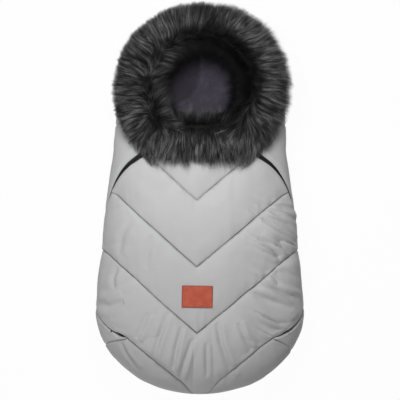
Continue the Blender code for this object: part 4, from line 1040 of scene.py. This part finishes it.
# %% The tree that grows the locks
def fur_group():
    group, graph, given = geometry_group("fur_locks", Density=100000.0, Width=0.0007, Seed=1, Tuft=0.35, Wild=0.22,
                                         Swirl=1.5)

    def vector(operation, *values, **more):
        return graph.node("ShaderNodeVectorMath", {**dict(enumerate(values)), **more}, operation=operation)

    def scaled(v, factor):
        return vector("SCALE", v, Scale=factor)

    def named(name, kind="FLOAT"):
        return graph.node("GeometryNodeInputNamedAttribute", {"Name": name}, data_type=kind)

    def store(geometry, kind="FLOAT", **values):
        for name, value in values.items():
            geometry = graph.node("GeometryNodeStoreNamedAttribute",
                                  {"Geometry": geometry, "Name": name, "Value": value}, data_type=kind, domain="POINT")
        return geometry

    def chance(seed, low=0.0, high=1.0):
        return graph.node("FunctionNodeRandomValue", {2: low, 3: high, "Seed": seed}, output=1, data_type="FLOAT")

    sown = graph.node("GeometryNodeDistributePointsOnFaces", {
        "Mesh": given["Geometry"], "Density": given["Density"], "Seed": given["Seed"]})
    place = graph.node("GeometryNodeInputPosition")
    slow = graph.node("ShaderNodeTexNoise", {"Vector": place, "Scale": 26.0}, output=1, noise_dimensions="3D")
    swirl = scaled(vector("SUBTRACT", slow, (0.5, 0.5, 0.5)), given["Swirl"])
    tufts = graph.all(graph.node("ShaderNodeTexVoronoi", {"Vector": place, "Scale": 205.0, "Randomness": 1.0},
                                 feature="F1"))
    tuft_parts = graph.all(graph.node("ShaderNodeSeparateXYZ", {0: tufts["Color"]}))
    wild = graph.node("FunctionNodeRandomValue", {0: (-1, -1, -1), 1: (1, 1, 1), "Seed": 12},
                      data_type="FLOAT_VECTOR")
    points = store(sown, "FLOAT_VECTOR", root=place, up=graph.all(sown)["Normal"],
                   way=vector("NORMALIZE", vector("ADD", named("comb", "FLOAT_VECTOR"), swirl)),
                   pull=vector("SUBTRACT", tufts["Position"], place), wild=wild)
    # The locks' pale tips and their darkening towards black follow the strips' painted light and shade.
    points = store(points, long=named("pile") * chance(9, 0.62, 1.12) * (tuft_parts["Y"] * 0.34 + 0.80),
                   tone=(tuft_parts["X"] * 0.86 + chance(5) * 0.36) ** 3.4 * named("pale") * 1.02,
                   shade=named("pale") * 0.85 + 0.15)
    lock = graph.node("GeometryNodeMeshCone", {"Vertices": 3, "Side Segments": 3, "Radius Top": 0.0,
                                               "Radius Bottom": 1.0, "Depth": 1.0}, fill_type="NONE")
    grown = graph.node("GeometryNodeRealizeInstances", {
        0: graph.node("GeometryNodeInstanceOnPoints", {"Points": points, "Instance": lock})})
    root, up, way, pull, wild = [named(name, "FLOAT_VECTOR") for name in ("root", "up", "way", "pull", "wild")]
    parts = graph.all(graph.node("ShaderNodeSeparateXYZ", {0: vector("SUBTRACT", place, root)}))
    along, long = parts["Z"], named("long")
    rise = along * 0.48 - along * along * 0.30
    lean = along * 0.42 + along * along * 0.55
    spine = vector("ADD", scaled(up, rise * long), scaled(way, lean * long))
    spine = vector("ADD", spine, scaled(pull, along * along * given["Tuft"]))
    spine = vector("ADD", spine, scaled(wild, along * along * long * given["Wild"]))
    across = vector("NORMALIZE", vector("CROSS_PRODUCT", up, way))
    width = given["Width"] * (1.0 - along * along * 0.85)
    body = vector("ADD", scaled(across, parts["X"] * width), scaled(up, parts["Y"] * width))
    moved = graph.node("GeometryNodeSetPosition", {
        "Geometry": store(grown, along=along), "Position": vector("ADD", vector("ADD", root, spine), body)})
    end_group(graph, moved, fur)
    return group


fur_tree = fur_group()
lock_density = 380000.0
FUR_TOP, FUR_SPARE = 0.158, 0.012
FUR_REACH, FUR_REACH_X = 0.2065, 0.0068
lock_shape = {"Width": 0.00044, "Tuft": 0.90, "Wild": 0.08, "Swirl": 1.4}


def locks_from(name, strip, seed, body, thickness=1.0):
    """Grow the locks of one strip, and press back those that would stand out of the fur's outline."""
    locks = grow(name, strip_object("base", strip), fur_tree, Density=lock_density * thickness, Seed=seed,
                 **lock_shape)
    co = np.empty(len(locks.data.vertices) * 3, np.float32)
    locks.data.vertices.foreach_get("co", co)
    over = np.maximum(co[2::3] - FUR_TOP, 0)
    co[2::3] = np.maximum(co[2::3] - over + FUR_SPARE * (1 - np.exp(-over / FUR_SPARE)), 0.001)
    if body == "bag":
        x, y = co[0::3] - FUR_REACH_X, co[1::3] - FUR_CENTRE_Y
        far, way = np.hypot(x, y), np.arctan2(y, x)
        reach = FUR_REACH + FUR_BULGE * bell(way, radians(25), radians(40))
        for layer, size, height in ((51, 0.36, 0.0026), (52, 0.055, 0.0020), (53, 0.017, 0.0036)):
            reach = reach + noise_over(layer, way.astype(float) / size) * height
        over = np.maximum(far - reach, 0)
        drawn = (far - over + FUR_SPARE * 0.9 * (1 - np.exp(-over / FUR_SPARE))) / far
        co[0::3], co[1::3] = FUR_REACH_X + x * drawn, FUR_CENTRE_Y + y * drawn
    locks.data.vertices.foreach_set("co", co)
    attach(locks, body)


# %% The hood's fur and the cover's fur
whole_turn = np.linspace(0, FULL_TURN, 28, endpoint=False)
sown_turn = np.radians(np.linspace(-42, 222, 24))
ring_ends = np.radians(np.linspace(-140, 140, 9))
ring = strip_object("hood_undercoat", ring_strip(ring_ends[0], ring_ends[-1], 90, whole_turn), closed=True)
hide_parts("hood_fur_trim")
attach(ring, "bag")
for number, (start, end) in enumerate(zip(ring_ends, ring_ends[1:])):
    reach = 1.06 if number in (0, len(ring_ends) - 2) else 1.0
    low, high = (start * reach, end) if start < 0 else (start, end * reach)
    locks_from(f"hood_fur_{number + 1}", ring_strip(low, high, 14, sown_turn), number + 1, "bag")
band = strip_object("cover_undercoat", band_strip(whole_turn, 0.090), closed=True)
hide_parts("cover_fur_trim")
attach(band, "cover")
locks_from("cover_fur", band_strip(np.radians(np.linspace(-62, 240, 27))), 31, "cover", 0.86)
locks_from("cover_fur_beneath", band_strip(np.radians(np.linspace(-122, -60, 7))), 32, "cover", 0.6)

# %% [markdown]
# ## The solids that show as they are
# Slot facings, elastic, sliders, pull tabs and stops keep their solids and get their own finishes.

# %% Finishes for the solids
finish_of = {"slot_facing": facing, "hood_elastic": elastic, "zip_bottom": zip_metal, "zip_top": zip_metal,
             "zip_slider": zip_metal, "zip_pull": zip_metal}
for name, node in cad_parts.items():
    for start, finish in finish_of.items():
        if name.startswith(start) and not node.hide_render:
            node.data.materials.clear()
            node.data.materials.append(finish)
            print("solid shown:", name)

# %% [markdown]
# ## Floor, light and camera
# A pale floor carries the soft shadow, and the backdrop is white to the camera alone. The main lamp hangs above the
# head's end, hardly left of the middle. A wider, weaker one hangs beyond the toes, to the left. The camera looks
# straight down from 8 m, as the photograph shows no perspective.

# %% Floor, light and camera
CAMERA_HEIGHT, SENSOR, FRAME_PIXELS = 8.0, 36, 400
FLOOR_HALF, FLOOR_Z = 6, -0.0004
WHITE = (1, 1, 1, 1)


def mixed_output(graph, factor, low, high, output):
    """Send a mix of two shaders to the tree's output."""
    both = graph.node("ShaderNodeMixShader", {0: factor, 1: low, 2: high})
    graph.tree.links.new(both.socket, graph.tree.nodes[output].inputs["Surface"])


floor_look = shader("floor_look", plain(grey(0.80), grey(0.82), 1.0), Roughness=0.9)
graph = Graph(floor_look.node_tree)
ray = graph.all(graph.node("ShaderNodeLightPath"))
share = (ray["Is Camera Ray"] + ray["Is Glossy Ray"] + ray["Is Transmission Ray"]) * 0.97
mixed_output(graph, share, Wire(graph, graph.tree.nodes["Principled BSDF"].outputs[0]),
             graph.node("ShaderNodeEmission", {"Color": WHITE, "Strength": 1.0}), "Material Output")
corners = [(x * FLOOR_HALF, y * FLOOR_HALF, FLOOR_Z) for x, y in ((-1, -1), (1, -1), (1, 1), (-1, 1))]
floor = mesh_object("floor", corners, [(0, 1, 2, 3)], [floor_look], smooth=False)

world = bpy.data.worlds.new("studio")
bpy.context.scene.world = world
world.use_nodes = True
sky = Graph(world.node_tree)
dim = world.node_tree.nodes["Background"]
dim.inputs["Color"].default_value, dim.inputs["Strength"].default_value = WHITE, 0.17
mixed_output(sky, sky.all(sky.node("ShaderNodeLightPath"))["Is Camera Ray"], Wire(sky, dim.outputs[0]),
             sky.node("ShaderNodeBackground", {"Color": WHITE, "Strength": 1.0}), "World Output")


def lamp(name, place, aim, size, watts):
    data = bpy.data.lights.new(name, "AREA")
    data.shape, data.size, data.size_y, data.energy = "RECTANGLE", size, size, watts
    thing = bpy.data.objects.new(name, data)
    thing.location = place
    thing.visible_camera = False
    thing.rotation_euler = (Vector(aim) - Vector(place)).to_track_quat("-Z", "Y").to_euler()
    bpy.context.scene.collection.objects.link(thing)


lamp("key", place=(-0.07, 0.50, 0.91), aim=(-0.02, 0.05, 0.05), size=0.35, watts=6.45)
lamp("fill", place=(-0.5, -0.9, 1.15), aim=(0, -0.15, 0.05), size=0.9, watts=4.9)

camera = bpy.data.objects.new("camera", bpy.data.cameras.new("camera"))
bpy.context.scene.collection.objects.link(camera)
bpy.context.scene.camera = camera
camera.location = (0, 0, CAMERA_HEIGHT + 0.06)
camera.data.lens = SENSOR * CAMERA_HEIGHT / (FRAME_PIXELS * PIXEL)
camera.data.clip_start, camera.data.clip_end = 0.1, 30
bpy.context.scene.view_settings.view_transform = "Standard"
